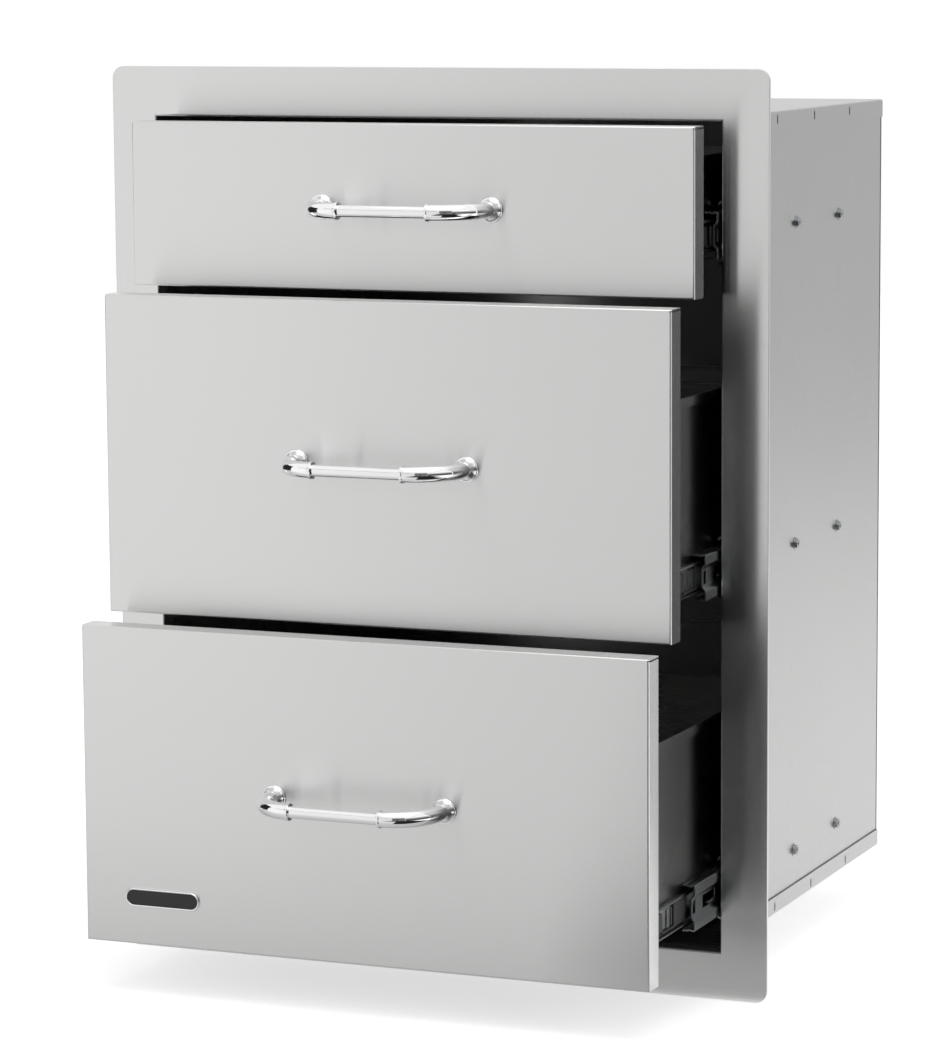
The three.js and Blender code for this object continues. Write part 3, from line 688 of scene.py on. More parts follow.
def finish(name):
    """The finish with this name, made when it is first asked for."""
    colours = bpy.context.scene.drawer_unit_finish
    makers = {
        "brushed_steel": lambda: steel(
            "brushed steel", colours.brushed_colour, 0.22, 1.0, 0.6, 0.02, 0.04),
        "plain_steel": lambda: steel(
            "plain steel", colours.plain_colour, 0.27, 0.8, 0.35, 0.03, 0.02),
        "zinc_steel": lambda: plated("zinc plate", colours.zinc_colour, 0.24),
        "cage_steel": lambda: plated("greased steel", colours.cage_colour, 0.42, 0.9),
        "ball_steel": lambda: plated(
            "ball steel", colours.chrome_colour, 0.08, 1.0, 20 * MM, 0.01, 0.0),
        "chrome": lambda: chrome("chrome", colours.chrome_colour),
        "black_plastic": lambda: moulded_plastic("black plastic", colours.plastic_and_shade_block_colour, 0.4),
    }
    if name not in FINISHES:
        FINISHES[name] = makers[name]()
    return FINISHES[name]


# Pieces

def folds(bend, steps):
    """Points round a folded edge: how far out, how far back, and the share of the fold."""
    shares = [(math.sin(t), 1 - math.cos(t))
              for t in (math.pi / 2 * k / steps for k in range(steps + 1))]
    return [(bend * out, bend * back, back) for out, back in shares]


def build_front(level, sheet):
    """One drawer front: a sheet with four folded edges, slit at its upper corners."""
    node = f"{level}_drawer_front"
    low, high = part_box(node)
    bend = sheet.front_bend
    slit = sheet.front_corner_slit
    half, face, back = high.x, low.y, high.y
    flat_x, flat_low, flat_high = half - bend, low.z + bend, high.z - bend
    skin = Skin()
    corners = [Vector((x, face, z)) for x, z in (
        (flat_x - slit / 4, flat_high), (flat_x, flat_high - slit / 2), (flat_x, flat_low),
        (-flat_x, flat_low), (-flat_x, flat_high - slit / 2), (slit / 4 - flat_x, flat_high))]
    skin.face(corners[::-1])
    rows = [(out, face + depth, share) for out, depth, share in folds(bend, FOLD_STEPS)]
    rows.append((bend, back, 1.0))
    for side, flat, gap in ((1, flat_high, slit), (-1, flat_low, 0.0)):
        line = [[Vector((x * (flat_x + out - gap / 4 * (1 - share)), y, flat + side * out))
                 for x in (-1, 1)] for out, y, share in rows]
        skin.strip([row[::side] for row in line])
    for side in (1, -1):
        line = [[Vector((side * (flat_x + out), y, z)) for z in (
            flat_low - out, flat_high + out - slit / 2 - share * (FRONT_SHEET + slit / 2))]
            for out, y, share in rows]
        skin.strip([row[::-side] for row in line])
    made = new_object(node + "_sheet", skin.form)
    thickened(made, FRONT_SHEET)
    return place_piece(made, f"{level}_drawer", "brushed_steel", node, edge_break=sheet.edge_break)


def rounded_loop(half, low, high, radius, y):
    """A rounded rectangle's points, from the right of the bottom edge round to its left."""
    loop = []
    for x, z, start in ((1, -1, -90), (1, 1, 0), (-1, 1, 90), (-1, -1, 180)):
        middle, height = x * (half - radius), (high if z > 0 else low) - z * radius
        for k in range(FOLD_STEPS + 1):
            angle = math.radians(start + 90 * k / FOLD_STEPS)
            loop.append(Vector((middle + radius * math.cos(angle), y,
                                height + radius * math.sin(angle))))
    return loop


def rim_rows(face, sheet):
    """The folded rim's insets and depths: round as it is skinned, then as it is pressed."""
    fold, rim = -face / 2, sheet.rim_corner
    rolled, pressed = [], []
    for k in range(FOLD_STEPS + 1):
        turn = math.pi * k / FOLD_STEPS
        rolled.append((fold * (1 - math.sin(turn)), face + fold * (1 - math.cos(turn))))
        share = min(turn, math.pi - turn)
        depth = rim * (1 - math.cos(share))
        if 2 * k == FOLD_STEPS:
            place = face / 2
        else:
            place = face + depth if 2 * k < FOLD_STEPS else -depth
        pressed.append((rim * (1 - math.sin(share)), place))
    return rolled + [(sheet.hem_width, 0.0)], pressed


def build_frame(sheet):
    """The face frame: a hemmed rim, a plate and four edges folded into the opening."""
    low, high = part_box("face_frame")
    half, face, back = high.x, low.y, high.y
    edges = {1: high.z - TOP_RAIL, -1: low.z + BOTTOM_RAIL}
    bend = sheet.opening_bend
    rolled, pressed = rim_rows(face, sheet)
    skin = Skin()

    def rim_loop(inset, y):
        return rounded_loop(half - inset, low.z + inset, high.z - inset,
                            max(sheet.frame_corner - inset, 0.6 * MM), y)

    loops = [rim_loop(*row) for row in rolled]
    outer = loops[0]
    count = len(outer)
    for one, two in zip(loops, loops[1:]):
        for i in range(count):
            j = (i + 1) % count
            skin.face((one[i], two[i], two[j], one[j]))
    # bottom, right, top and left parts of the plate, each from corner middle to corner middle
    corners = [Vector((x * (OPENING_HALF + bend), face, edges[z] + z * bend))
               for x, z in ((1, -1), (1, 1), (-1, 1), (-1, -1))]
    quarter = count // 4
    for k in range(4):
        start = (3 + k) * quarter + quarter // 2
        run = [outer[i % count] for i in range(start, start + quarter + 1)]
        skin.face(run + [corners[k], corners[k - 1]])
    turn = [(bend - out, face + depth) for out, depth, share in folds(bend, FOLD_STEPS)]
    turn.append((0.0, back))
    for side, edge in edges.items():
        skin.strip([[Vector((x * (OPENING_HALF + out), y, edge + side * out))
                     for x in (-1, 1)][::-side] for out, y in turn])
    for side in (1, -1):
        skin.strip([[Vector((side * (OPENING_HALF + out), y, edges[z] + z * out))
                     for z in (-1, 1)][::side] for out, y in turn])
    skin.form.verts.index_update()
    targets = {skin.corner(point).index: target for loop, row in zip(loops, pressed)
               for point, target in zip(loop, rim_loop(*row))}
    made = new_object("face_frame_sheet", skin.form)
    thickened(made, FRAME_SHEET)
    for index, target in targets.items():
        made.data.vertices[index].co = target
    return place_piece(made, "cabinet", "brushed_steel", "face_frame", edge_break=sheet.edge_break)


def rounded_disc(radius, length, edge=0.3 * MM):
    """The profile of a short turned form with a chamfer at both ends."""
    return [(0, 0), (radius - edge, 0), (radius, edge), (radius, length - edge),
            (radius - edge, length), (0, length)]


def build_post(level, word, handle):
    """A handle post: trumpet flange, bent tube, collar, stud and nut."""
    node = f"{level}_handle_post_{word}"
    side = SIDES[word]
    low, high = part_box(node)
    bar_low, bar_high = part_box(f"{level}_handle_bar")
    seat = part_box(f"{level}_drawer_front")[0].y - SEAT_GAP
    x, z = side * POST_PLACE, (low.z + high.z) / 2
    bar_y = (bar_low.y + bar_high.y) / 2
    radius, throat, rim = handle.elbow_radius, handle.tube_radius, handle.flange_radius
    straight = seat - bar_y - radius
    form = bmesh.new()
    profile = [(0, 0), (rim - 0.2 * MM, 0), (rim, 0.2 * MM), (rim, 0.7 * MM),
               (rim - 0.2 * MM, 0.95 * MM)]
    for share in (k / TRUMPET_STEPS for k in range(TRUMPET_STEPS + 1)):
        profile.append((rim - 0.55 * MM - (rim - 0.6 * MM - throat) * share,
                        (0.95 + 1.3 * share + 4.3 * share ** 2.5) * MM))
    turned(form, profile + [(0, 6.55 * MM)], (0, -1, 0), (x, seat, z), 64)
    line = [Vector((x, seat - 1 * MM, z))]
    for k in range(ELBOW_STEPS + 1):
        angle = math.pi / 2 * k / ELBOW_STEPS
        line.append(Vector((x - side * radius * (1 - math.cos(angle)),
                            seat - straight - radius * math.sin(angle), z)))
    tube(form, line, throat, 48)
    collar, bore = handle.collar_radius, handle.bar_radius + 0.15 * MM
    edge, lip = 0.3 * MM, 1.8 * MM
    turned(form, [(0, 0), (collar - edge, 0), (collar, edge), (collar, lip),
                  (collar - edge, lip + edge), (bore, lip + edge), (bore, 1.2 * MM), (0, 1.2 * MM)],
           (-side, 0, 0), (x - side * (radius - lip), bar_y, z), 64)
    turned(form, [(0, 0), (2 * MM, 0), (2 * MM, 7.5 * MM), (1.7 * MM, 7.9 * MM), (0, 7.9 * MM)],
           (0, 1, 0), (x, seat - 0.5 * MM, z), 24)
    turned(form, rounded_disc(4.2 * MM, 2.4 * MM), (0, 1, 0), (x, seat + 1.6 * MM, z), 6)
    return place_piece(new_object(node + "_turned", form), f"{level}_drawer", "chrome", node)


def build_bar(level, handle):
    """The straight bar between two handle posts."""
    node = f"{level}_handle_bar"
    low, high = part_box(node)
    centre = (low + high) / 2
    radius, length = handle.bar_radius, high.x - low.x
    profile = rounded_disc(radius, length)
    profile[3:3] = [(radius, length / 3), (radius, length * 2 / 3)]
    form = turned(bmesh.new(), profile, (1, 0, 0), (low.x, centre.y, centre.z), 48)
    return place_piece(new_object(node + "_turned", form), f"{level}_drawer", "chrome", node)


def from_wall(side, *depths):
    """Places along X from the cabinet wall towards the tray, the lesser first."""
    return sorted(side * (SLIDE_FACE - depth) for depth in depths)


def rolled_strip(name, side, node, path, thickness, bend):
    """A folded strip as long as the node, made along the path; also its front and its height."""
    low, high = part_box(node)
    centre = (low.z + high.z) / 2
    line = [(side * (SLIDE_FACE - depth), height) for depth, height in path]
    outline = [(a, b + centre) for a, b in folded_outline(line, thickness, bend, 4)]
    form = swept(bmesh.new(), outline, along_y, low.y, high.y, True)
    return new_object(name, form), low.y, centre


def build_rail(level, word, kind, path, body, sheet, windows, extra):
    """A folded slide rail with its windows and pressed forms, on one side of the cabinet."""
    node = f"{level}_{kind}_{word}"
    side = SIDES[word]
    made, front, centre = rolled_strip(node + "_rolled", side, node, path, RAIL_SHEET, 0.9 * MM)
    cutter = bmesh.new()
    for near, far, start, length, half in windows:
        ends = from_wall(side, near, far)
        block(cutter, (ends[0], front + start, centre - half),
              (ends[1], front + start + length, centre + half))
    cut_out(made, cutter)
    edited(made, lambda form: extra(form, side, centre, front))
    return place_piece(made, body, "zinc_steel", node, edge_break=sheet.edge_break)


def studs_and_nuts(form, side, centre, front):
    """The two studs through the side panel with their washers and nuts."""
    stud, outer, washer, nut = 2 * MM, PANEL_FACE, 4.6 * MM, 3.9 * MM
    for place in STUD_PLACES:
        for profile, start, sides in (
                ([(0, 0), (stud, 0), (stud, 5.2 * MM), (1.6 * MM, 5.5 * MM), (0, 5.5 * MM)],
                 outer - 2.2 * MM, 24),
                ([(2.1 * MM, 0), (washer, 0), (washer, 0.5 * MM), (2.1 * MM, 0.5 * MM)],
                 outer - 0.25 * MM, 32),
                ([(stud, 0), (nut, 0), (nut, 2.0 * MM), (3.5 * MM, 2.3 * MM), (stud, 2.3 * MM)],
                 outer + 0.3 * MM, 6)):
            turned(form, profile, (side, 0, 0), (side * start, front + place, centre), sides)


def raised_bar(form, side, depth, height, y, z):
    """Adds a pressed bar with sloped sides to a rail's web: depth, y and z are (from, to)."""
    rings = []
    for reach, inset in ((depth[0], 0.0), (depth[1], height * 0.15)):
        x = side * (SLIDE_FACE - reach)
        rings.append([form.verts.new((x, y[i] + inset * (1 - 2 * i), z[j] + inset * (1 - 2 * j)))
                      for i, j in ((0, 0), (1, 0), (1, 1), (0, 1))])
    return capped(form, rings)


def carrier_hook(form, side, centre, front):
    """The hook in the carrier's long window, which catches the drawer's release lever."""
    depth = CARRIER_FACE + CARRIER_STEP
    outline = [(front + y * MM, centre - z * MM)
               for y, z in ((31, 3.0), (49, 3.0), (49, 0.6), (34, 1.7), (31, 1.2))]
    swept(form, outline, along_x, *from_wall(side, depth + RAIL_SHEET, depth - 0.9 * MM))


def rail_bars(form, side, centre, front):
    """Two pressed bars on the drawer rail, behind its front end, with a rivet."""
    face = SLIDE_THICKNESS - RAIL_SHEET
    for first, last in ((33 * MM, 37.5 * MM), (42 * MM, 48.5 * MM)):
        raised_bar(form, side, (face + 0.1 * MM, face - 0.8 * MM), 0.8 * MM,
                   (front + first, front + last), (centre - 7 * MM, centre + 6.4 * MM))
    rivet = [(0, 0), (1.5 * MM, 0), (1.4 * MM, 0.5 * MM), (0.8 * MM, 1.0 * MM), (0, 1.15 * MM)]
    turned(form, rivet, (side, 0, 0),
           (side * (SLIDE_FACE - face), front + 52.5 * MM, centre - 2 * MM), 20)


def build_slides(level, word, sheet, slides):
    """The three rails and the two ball cages of one slide."""
    half = RAIL_SHEET / 2
    leg = CABINET_RAIL_HALF - half
    path = [(9.9 * MM, leg - 1.75 * MM), (8.7 * MM, leg), (half + 3.6 * MM, leg),
            (half, leg - 2.15 * MM)]
    build_rail(level, word, "cabinet_rail", mirrored(path), "cabinet", sheet,
               [(-2 * MM, 1.55 * MM, place, 9 * MM, 2.3 * MM) for place in (60 * MM, 270 * MM)],
               studs_and_nuts)
    web = CARRIER_FACE + half
    leg = CARRIER_RAIL_HALF - half
    groove = leg - 0.5 * MM
    path = [(SLIDE_THICKNESS - half, leg), (OUTER_BALL_PLACE + 2 * MM, leg),
            (OUTER_BALL_PLACE + 1 * MM, groove), (OUTER_BALL_PLACE - 1 * MM, groove),
            (OUTER_BALL_PLACE - 2 * MM, leg), (web, leg), (web, 9.6 * MM),
            (web + CARRIER_STEP, 6.4 * MM)]
    build_rail(level, word, "carrier_rail", mirrored(path), f"{level}_carrier_rails", sheet,
               [(CARRIER_FACE - 0.15 * MM, web + CARRIER_STEP + RAIL_SHEET, place, length, 4.6 * MM)
                for place, length in ((1.8 * MM, 6.2 * MM), (22.5 * MM, 26 * MM))], carrier_hook)
    web = SLIDE_THICKNESS - half
    leg = DRAWER_RAIL_HALF - half
    path = [(web - 3.9 * MM, leg - 1.2 * MM), (web - 3.3 * MM, leg), (web - 1.2 * MM, leg),
            (web, leg - 1.2 * MM)]
    build_rail(level, word, "drawer_rail", mirrored(path), f"{level}_drawer", sheet,
               [(SLIDE_THICKNESS + 2 * MM, web - RAIL_SHEET, place, 9 * MM, 2.3 * MM)
                for place in (80 * MM, 270 * MM)], rail_bars)
    inner_face = CARRIER_FACE + CARRIER_STEP + RAIL_SHEET
    for kind, face, place, outer, inner in (
            ("outer_cage", RAIL_SHEET, OUTER_BALL_PLACE, CABINET_RAIL_HALF - RAIL_SHEET,
             CARRIER_RAIL_HALF - 0.5 * MM),
            ("inner_cage", inner_face, INNER_BALL_PLACE, CARRIER_RAIL_HALF - RAIL_SHEET,
             DRAWER_RAIL_HALF)):
        build_cage(level, word, kind, face + CAGE_GAP + CAGE_SHEET / 2, place, (outer + inner) / 2,
                   (outer - inner) / 2 - SEAT_GAP, slides)


def build_cage(level, word, kind, web, ball_place, height, radius, slides):
    """A ball cage: a thin folded strip and the two rows of steel balls that it holds."""
    node = f"{level}_{kind}_{word}"
    side = SIDES[word]
    low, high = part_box(node)
    path = mirrored([(ball_place + radius - 0.6 * MM, height), (web, height)])
    made, front, centre = rolled_strip(node + "_strip", side, node, path, CAGE_SHEET, 0.6 * MM)
    place_piece(made, f"{level}_{kind}s", "cage_steel", node)
    made.data.materials.append(finish("ball_steel"))
    margin = 12 * MM
    pitch = (high.y - low.y - 2 * margin) / (slides.balls_per_row - 1)

    def add_balls(form):
        strip_faces = len(form.faces)
        for row in (1, -1):
            for i in range(slides.balls_per_row):
                place = Vector((side * (SLIDE_FACE - ball_place), front + margin + i * pitch,
                                centre + row * height))
                bmesh.ops.create_icosphere(form, subdivisions=3, radius=radius,
                                           matrix=Matrix.Translation(place))
        form.faces.ensure_lookup_table()
        for face in form.faces[strip_faces:]:
            face.material_index = 1
            face.smooth = True

    edited(made, add_balls)
    return made


def build_lever_and_shade_block(level, word, slides):
    """The black plastic lever that releases the drawer, a grip and a thin arm, and behind them a
    black block that stands in for the shade inside the rail's channel (painted shade).
    """
    side = SIDES[word]
    low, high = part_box(f"{level}_drawer_rail_{word}")
    centre = (low.z + high.z) / 2
    start, shade_block_start = low.y + 10 * MM, low.y + slides.lever_and_shade_block_length
    # The middle run of points, from the second place on, is the black block that stands in for the
    # shade inside the rail's channel: painted shade.
    points = [(start, ((0, -5.6), (1, -6.6), (10, -6.6), (11, -5.6), (11, -8.4))),
              (shade_block_start, ((0, -8.4), (24, -8.4), (24, 8.2), (1, 8.2), (0, 7.2), (0, -7.2))),
              (start, ((12, -7.2), (11, -4), (11, 5.6), (10, 6.6), (1, 6.6), (0, 5.6)))]
    outline = [(origin + y * MM, centre + z * MM) for origin, run in points for y, z in run]
    inner = SLIDE_THICKNESS - RAIL_SHEET - 0.1 * MM
    form = swept(bmesh.new(), outline, along_x, *from_wall(side, inner, inner - 1.8 * MM))
    made = new_object(f"{level}_release_lever_{word}", form)
    return place_piece(made, f"{level}_drawer", "black_plastic", edge_break=0.25 * MM)


def build_hem(level, word):
    """The hem folded flat along the upper edge of a tray's side."""
    side = SIDES[word]
    low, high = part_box(f"{level}_drawer_tray")
    edge, outer = high.x - 0.25 * MM, high.x + 0.7 * MM
    top, lip = high.z + 0.05 * MM, high.z - 0.25 * MM
    points = rounded_line([(edge, top - 7 * MM), (outer, top - 7 * MM), (outer, top),
                           (edge - 0.6 * MM, top), (edge - 0.6 * MM, lip)], 0.4 * MM, 4)
    outline = [(side * p.x, p.y) for p in points] + [(side * edge, lip)]
    made = new_object(f"{level}_tray_hem_{word}",
                      swept(bmesh.new(), outline, along_y, low.y + 1 * MM, high.y - 1 * MM))
    return place_piece(made, f"{level}_drawer", "plain_steel")


def build_lid(node, path, floor, lip, inset, slot, sheet):
    """The cover or the pan: a sheet bent lengthwise, with a folded, slotted lip on each side."""
    low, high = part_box(node)
    half = high.x - CABINET_SHEET / 2
    width = half - 2.5 * MM
    bend = 0.8 * MM
    outline = folded_outline(path, CABINET_SHEET, bend, 5)
    made = new_object(node + "_sheet", swept(bmesh.new(), outline, along_x, -width, width, True))
    for side in (1, -1):
        corners = [(side * half, lip), (side * half, floor), (side * (half - 9 * MM), floor)]
        outline = folded_outline(corners, CABINET_SHEET, bend, 5)
        strip = swept(bmesh.new(), outline, along_y, low.y + inset,
                      high.y - CABINET_SHEET / 2 - 2.4 * MM, True)
        cut_out(made, strip, "UNION")
    cutter = bmesh.new()
    for side in (1, -1):
        reach = sorted((side * (half - 0.8 * MM), side * (half + 2 * MM)))
        for place in LIP_SLOTS:
            block(cutter, (reach[0], place - 1 * MM, slot),
                  (reach[1], place + 1 * MM, slot + 6 * MM))
    cut_out(made, cutter)
    return place_piece(made, "cabinet", "plain_steel", node, edge_break=sheet.edge_break)


def build_cover(sheet):
    """The top cover: its front edge is folded up and its other edges down."""
    low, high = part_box("top_cover")
    front, back = low.y + CABINET_SHEET / 2, high.y - CABINET_SHEET / 2
    floor = low.z + 13 * MM
    path = [(front, high.z), (front, floor), (back, floor), (back, low.z)]
    return build_lid("top_cover", path, floor, low.z, 1.3 * MM, low.z + 4.5 * MM, sheet)


def build_pan(sheet):
    """The pan: its front edge is set down so that it seats behind the frame's folded edge."""
    low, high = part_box("bottom_pan")
    front, back = low.y + CABINET_SHEET / 2, high.y - CABINET_SHEET / 2
    floor = low.z + 14.5 * MM
    down = floor - 5.8 * MM
    path = [(front, low.z), (front, down), (front + 5 * MM, down), (front + 24 * MM, floor),
            (back, floor), (back, high.z)]
    return build_lid("bottom_pan", path, floor, high.z, 2.2 * MM, floor + 2.5 * MM, sheet)


def pill(inset, y):
    """The blank plate's outline, drawn in by the inset, at the depth y."""
    left, right, bottom, top = PLATE
    radius = (top - bottom) / 2
    points = []
    for x, start in ((right - radius, -90), (left + radius, 90)):
        for k in range(25):
            angle = math.radians(start + 7.5 * k)
            points.append(Vector((x + (radius - inset) * math.cos(angle), y,
                                  (top + bottom) / 2 + (radius - inset) * math.sin(angle))))
    return points


def build_plate():
    """The blank plate low on the bottom drawer front: a bright rim round a black field."""
    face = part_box("bottom_drawer_front")[0].y
    for name, slot, rows in (
            ("rim", "chrome", ((0, 0), (0, 1.35), (0.12, 1.65), (0.4, 1.85), (0.75, 1.85), (1, 1.7),
                               (1.15, 1.45), (1.15, 0))),
            ("field", "black_plastic", ((1.2, 0.05), (1.2, 0.95), (1.35, 1.1), (1.8, 1.14),
                                        (3, 1.16)))):
        form = bmesh.new()
        rings = [[form.verts.new(p) for p in pill(inset * MM, face - out * MM)]
                 for inset, out in rows]
        if name == "rim":
            for one, two in zip(rings, rings[1:] + rings[:1]):
                bridged(form, one, two)
            bmesh.ops.recalc_face_normals(form, faces=form.faces)
        else:
            capped(form, rings)
        place_piece(new_object("bottom_blank_plate_" + name, form), "bottom_drawer", slot)


# Operators

def add_carried_finishes():
    """Gives every CAD node that stays in view the finish of its slot."""
    slots = {part["node"]: part["material_slot"] for part in frame["record"]["subparts"]}
    for name, node in frame["nodes"].items():
        for slot in node.material_slots:
            slot.material = finish(slots[name])


class DRAWERUNIT_OT_carried_finishes(bpy.types.Operator):
    """Give every CAD part that stays in view its finish"""
    bl_idname = "drawer_unit.carried_finishes"
    bl_label = "Carried-over parts"

    def execute(self, context):
        add_carried_finishes()
        return {"FINISHED"}


class DRAWERUNIT_OT_face_frame(bpy.types.Operator):
    """Build the hemmed face frame with its folded opening"""
    bl_idname = "drawer_unit.face_frame"
    bl_label = "Face frame"

    def execute(self, context):
        build_frame(context.scene.drawer_unit_sheet)
        return {"FINISHED"}


class DRAWERUNIT_OT_cabinet_sheets(bpy.types.Operator):
    """Build the cabinet's cover and pan with their slotted lips"""
    bl_idname = "drawer_unit.cabinet_sheets"
    bl_label = "Cover and pan"

    def execute(self, context):
        build_cover(context.scene.drawer_unit_sheet)
        build_pan(context.scene.drawer_unit_sheet)
        return {"FINISHED"}


class DRAWERUNIT_OT_tray_hems(bpy.types.Operator):
    """Fold a hem along the upper edges of the trays"""
    bl_idname = "drawer_unit.tray_hems"
    bl_label = "Tray hems"

    def execute(self, context):
        for level in LEVELS:
            for word in SIDES:
                build_hem(level, word)
        return {"FINISHED"}


class DRAWERUNIT_OT_drawer_fronts(bpy.types.Operator):
    """Build the three folded drawer fronts"""
    bl_idname = "drawer_unit.drawer_fronts"
    bl_label = "Drawer fronts"

    def execute(self, context):
        for level in LEVELS:
            build_front(level, context.scene.drawer_unit_sheet)
        return {"FINISHED"}


class DRAWERUNIT_OT_handles(bpy.types.Operator):
    """Build the chrome handles: two posts and a bar for each drawer"""
    bl_idname = "drawer_unit.handles"
    bl_label = "Handles"

    def execute(self, context):
        for level in LEVELS:
            for word in SIDES:
                build_post(level, word, context.scene.drawer_unit_handle)
            build_bar(level, context.scene.drawer_unit_handle)
        return {"FINISHED"}


class DRAWERUNIT_OT_slides(bpy.types.Operator):
    """Build the ball bearing slides with their cages, nuts and release levers, each lever with a
    black block that stands in for the shade in the rail's channel (painted shade)
    """
    bl_idname = "drawer_unit.slides"
    bl_label = "Slides"

    def execute(self, context):
        sheet, slides = context.scene.drawer_unit_sheet, context.scene.drawer_unit_slide
        for level in LEVELS:
            for word in SIDES:
                build_slides(level, word, sheet, slides)
                build_lever_and_shade_block(level, word, slides)
        return {"FINISHED"}


class DRAWERUNIT_OT_blank_plate(bpy.types.Operator):
    """Put the blank rimmed plate on the bottom drawer front"""
    bl_idname = "drawer_unit.blank_plate"
    bl_label = "Blank plate"

    def execute(self, context):
        build_plate()
        return {"FINISHED"}


def background_seen(wiring):
    """One for the rays that show the background, zero for those that light the unit."""
    rays = wiring.add("LightPath")
    return wiring.sum("MAXIMUM", rays["Is Camera Ray"],
                      wiring.sum("MAXIMUM", rays["Is Glossy Ray"], rays["Is Transmission Ray"]))


def studio_floor(studio):
    form = bmesh.new()
    bmesh.ops.create_grid(form, x_segments=8, y_segments=8, size=FLOOR_HALF)
    bmesh.ops.translate(form, verts=form.verts, vec=(0, 0, GROUND))
    floor = new_object("studio_floor", form)
    material, wiring, shader = new_material("studio floor", {
        "Roughness": 0.9, "Specular IOR Level": 0.0, "Emission Color": (1, 1, 1, 1)})
    cloud = wiring.noise(object_vector(wiring), (3.0, 3.0, 3.0))
    wiring.give(shader, {
        "Base Color": tinted(wiring, studio.floor_colour, 0.01, cloud),
        "Emission Strength": wiring.sum("MULTIPLY", background_seen(wiring), studio.floor_glow)})
    floor.data.materials.append(material)


def studio_world(studio):
    world = bpy.data.worlds.new("studio surroundings")
    world.use_nodes = True
    bpy.context.scene.world = world
    wiring = Wiring(world.node_tree)
    wiring.give(world.node_tree.nodes["Background"].inputs, {
        "Color": (1, 1, 1, 1),
        "Strength": wiring.sum("MULTIPLY_ADD", background_seen(wiring), 1 - studio.ambient,
                               studio.ambient)})


def in_scene(name, data):
    """A new object in the scene that holds a lamp or a camera."""
    holder = bpy.data.objects.new(name, data)
    bpy.context.scene.collection.objects.link(holder)
    return holder


def studio_lamp(name, place, size, power):
    """A rectangular lamp that points at the unit."""
    lamp = bpy.data.lights.new(name, "AREA")
    lamp.shape = "RECTANGLE"
    lamp.size, lamp.size_y = size
    lamp.energy = power
    holder = in_scene(name, lamp)
    holder.location = place
    aim = Vector((0.0, 0.0, 0.3)) - Vector(place)
    holder.rotation_euler = aim.to_track_quat("-Z", "Y").to_euler()


def studio_card(name, middle, size, turns, shade, *fades):
    """A card or cloth out of view, upright or on the floor, which the bare metal reflects.

    Its shade is 0 for black and 1 for white, and each fade takes it from one share to another
    along a direction: (direction, start, end, from, to)."""
    form = bmesh.new()
    bmesh.ops.create_grid(form, x_segments=4, y_segments=4, size=0.5)
    tip, turn = turns
    stand = (Matrix.Translation(middle) @ Matrix.Rotation(math.radians(-turn), 4, "Z")
             @ Matrix.Rotation(math.radians(tip), 4, "X") @ Matrix.Diagonal((*size, 1, 1)))
    bmesh.ops.transform(form, matrix=stand, verts=form.verts)
    card = new_object(name, form)
    material, wiring, shader = new_material(name, {
        "Base Color": (0, 0, 0, 1), "Roughness": 1.0, "Specular IOR Level": 0.0,
        "Emission Color": (1, 1, 1, 1)})
    place = object_vector(wiring)
    fibres = wiring.noise(place, (3.0, 3.0, 3.0))
    value = wiring.sum("MULTIPLY_ADD", fibres, 0.02 * shade, 0.98 * shade)
    for direction, *limits in fades:
        ramp = dict(zip(("From Min", "From Max", "To Min", "To Max"), limits))
        ramp["Value"] = wiring.vectors("DOT_PRODUCT", place, direction)["Value"]
        share = wiring.add("MapRange", ramp, interpolation_type="SMOOTHSTEP")["Result"]
        value = wiring.sum("MULTIPLY", value, share)
    wiring.give(shader, {"Emission Strength": value})
    card.data.materials.append(material)
    card.visible_camera = False
    card.visible_diffuse = False
    card.visible_shadow = False


def studio_camera():
    camera = bpy.data.cameras.new("studio camera")
    camera.lens = CAMERA_LENS
    camera.sensor_width = CAMERA_SENSOR
    camera.sensor_fit = "AUTO"
    holder = in_scene("studio camera", camera)
    holder.location = CAMERA_PLACE
    holder.rotation_euler = [math.radians(angle) for angle in CAMERA_TURN]
    bpy.context.scene.camera = holder


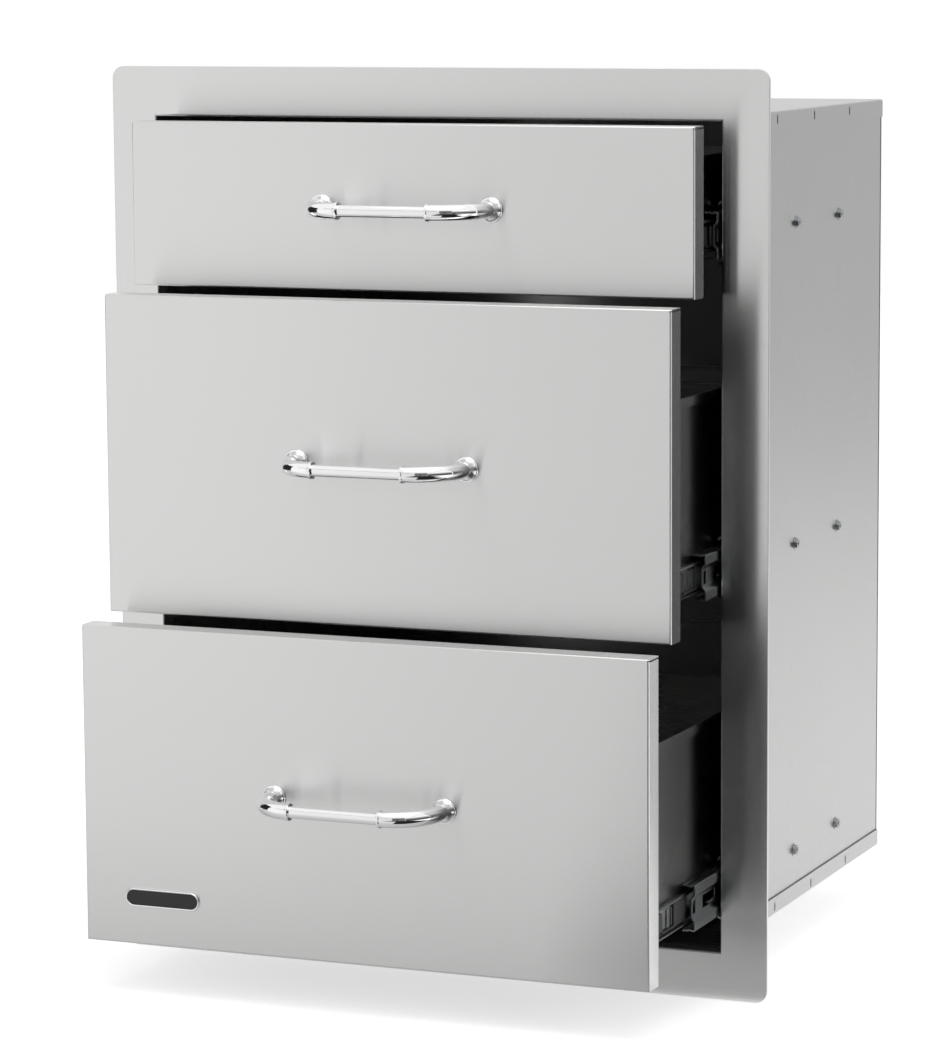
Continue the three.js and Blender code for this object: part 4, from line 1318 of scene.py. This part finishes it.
class DRAWERUNIT_OT_studio(bpy.types.Operator):
    """Set up the pale floor, the lamps, the surroundings and the camera"""
    bl_idname = "drawer_unit.studio"
    bl_label = "Studio"

    def execute(self, context):
        studio = context.scene.drawer_unit_studio
        studio_floor(studio)
        studio_world(studio)
        studio_lamp("overhead_lamp", (0.2, -0.5, 2.3), (1.8, 1.3), studio.overhead)
        studio_lamp("side_lamp", (2.3, -0.9, 0.9), (1.0, 1.8), studio.side)
        for card in STUDIO_CARDS:
            studio_card(*card)
        studio_camera()
        context.scene.view_settings.view_transform = "Standard"
        return {"FINISHED"}


class DRAWERUNIT_PT_panel(bpy.types.Panel):
    """Builds the drawer unit piece by piece"""
    bl_idname = "DRAWERUNIT_PT_panel"
    bl_label = "Drawer unit"
    bl_space_type = "VIEW_3D"
    bl_region_type = "UI"
    bl_category = "Drawer unit"

    def draw(self, context):
        layout = self.layout
        for operator in OPERATORS:
            layout.operator(operator.bl_idname)
        for name, group in SETTINGS:
            box = layout.box()
            box.label(text=group.__doc__)
            values = getattr(context.scene, name)
            for prop in group.__annotations__:
                box.prop(values, prop)


OPERATORS = (
    DRAWERUNIT_OT_carried_finishes,
    DRAWERUNIT_OT_face_frame,
    DRAWERUNIT_OT_cabinet_sheets,
    DRAWERUNIT_OT_tray_hems,
    DRAWERUNIT_OT_drawer_fronts,
    DRAWERUNIT_OT_handles,
    DRAWERUNIT_OT_slides,
    DRAWERUNIT_OT_blank_plate,
    DRAWERUNIT_OT_studio,
)
SETTINGS = (
    ("drawer_unit_sheet", SheetSettings),
    ("drawer_unit_handle", HandleSettings),
    ("drawer_unit_slide", SlideSettings),
    ("drawer_unit_finish", FinishSettings),
    ("drawer_unit_studio", StudioSettings),
)


def register():
    for name, group in SETTINGS:
        bpy.utils.register_class(group)
        setattr(bpy.types.Scene, name, PointerProperty(type=group))
    for operator in OPERATORS:
        bpy.utils.register_class(operator)
    bpy.utils.register_class(DRAWERUNIT_PT_panel)


def unregister():
    bpy.utils.unregister_class(DRAWERUNIT_PT_panel)
    for operator in reversed(OPERATORS):
        bpy.utils.unregister_class(operator)
    for name, group in reversed(SETTINGS):
        delattr(bpy.types.Scene, name)
        bpy.utils.unregister_class(group)


def main():
    register()
    for operator in OPERATORS:
        group, name = operator.bl_idname.split(".")
        getattr(getattr(bpy.ops, group), name)()


if __name__ == "__main__":
    main()
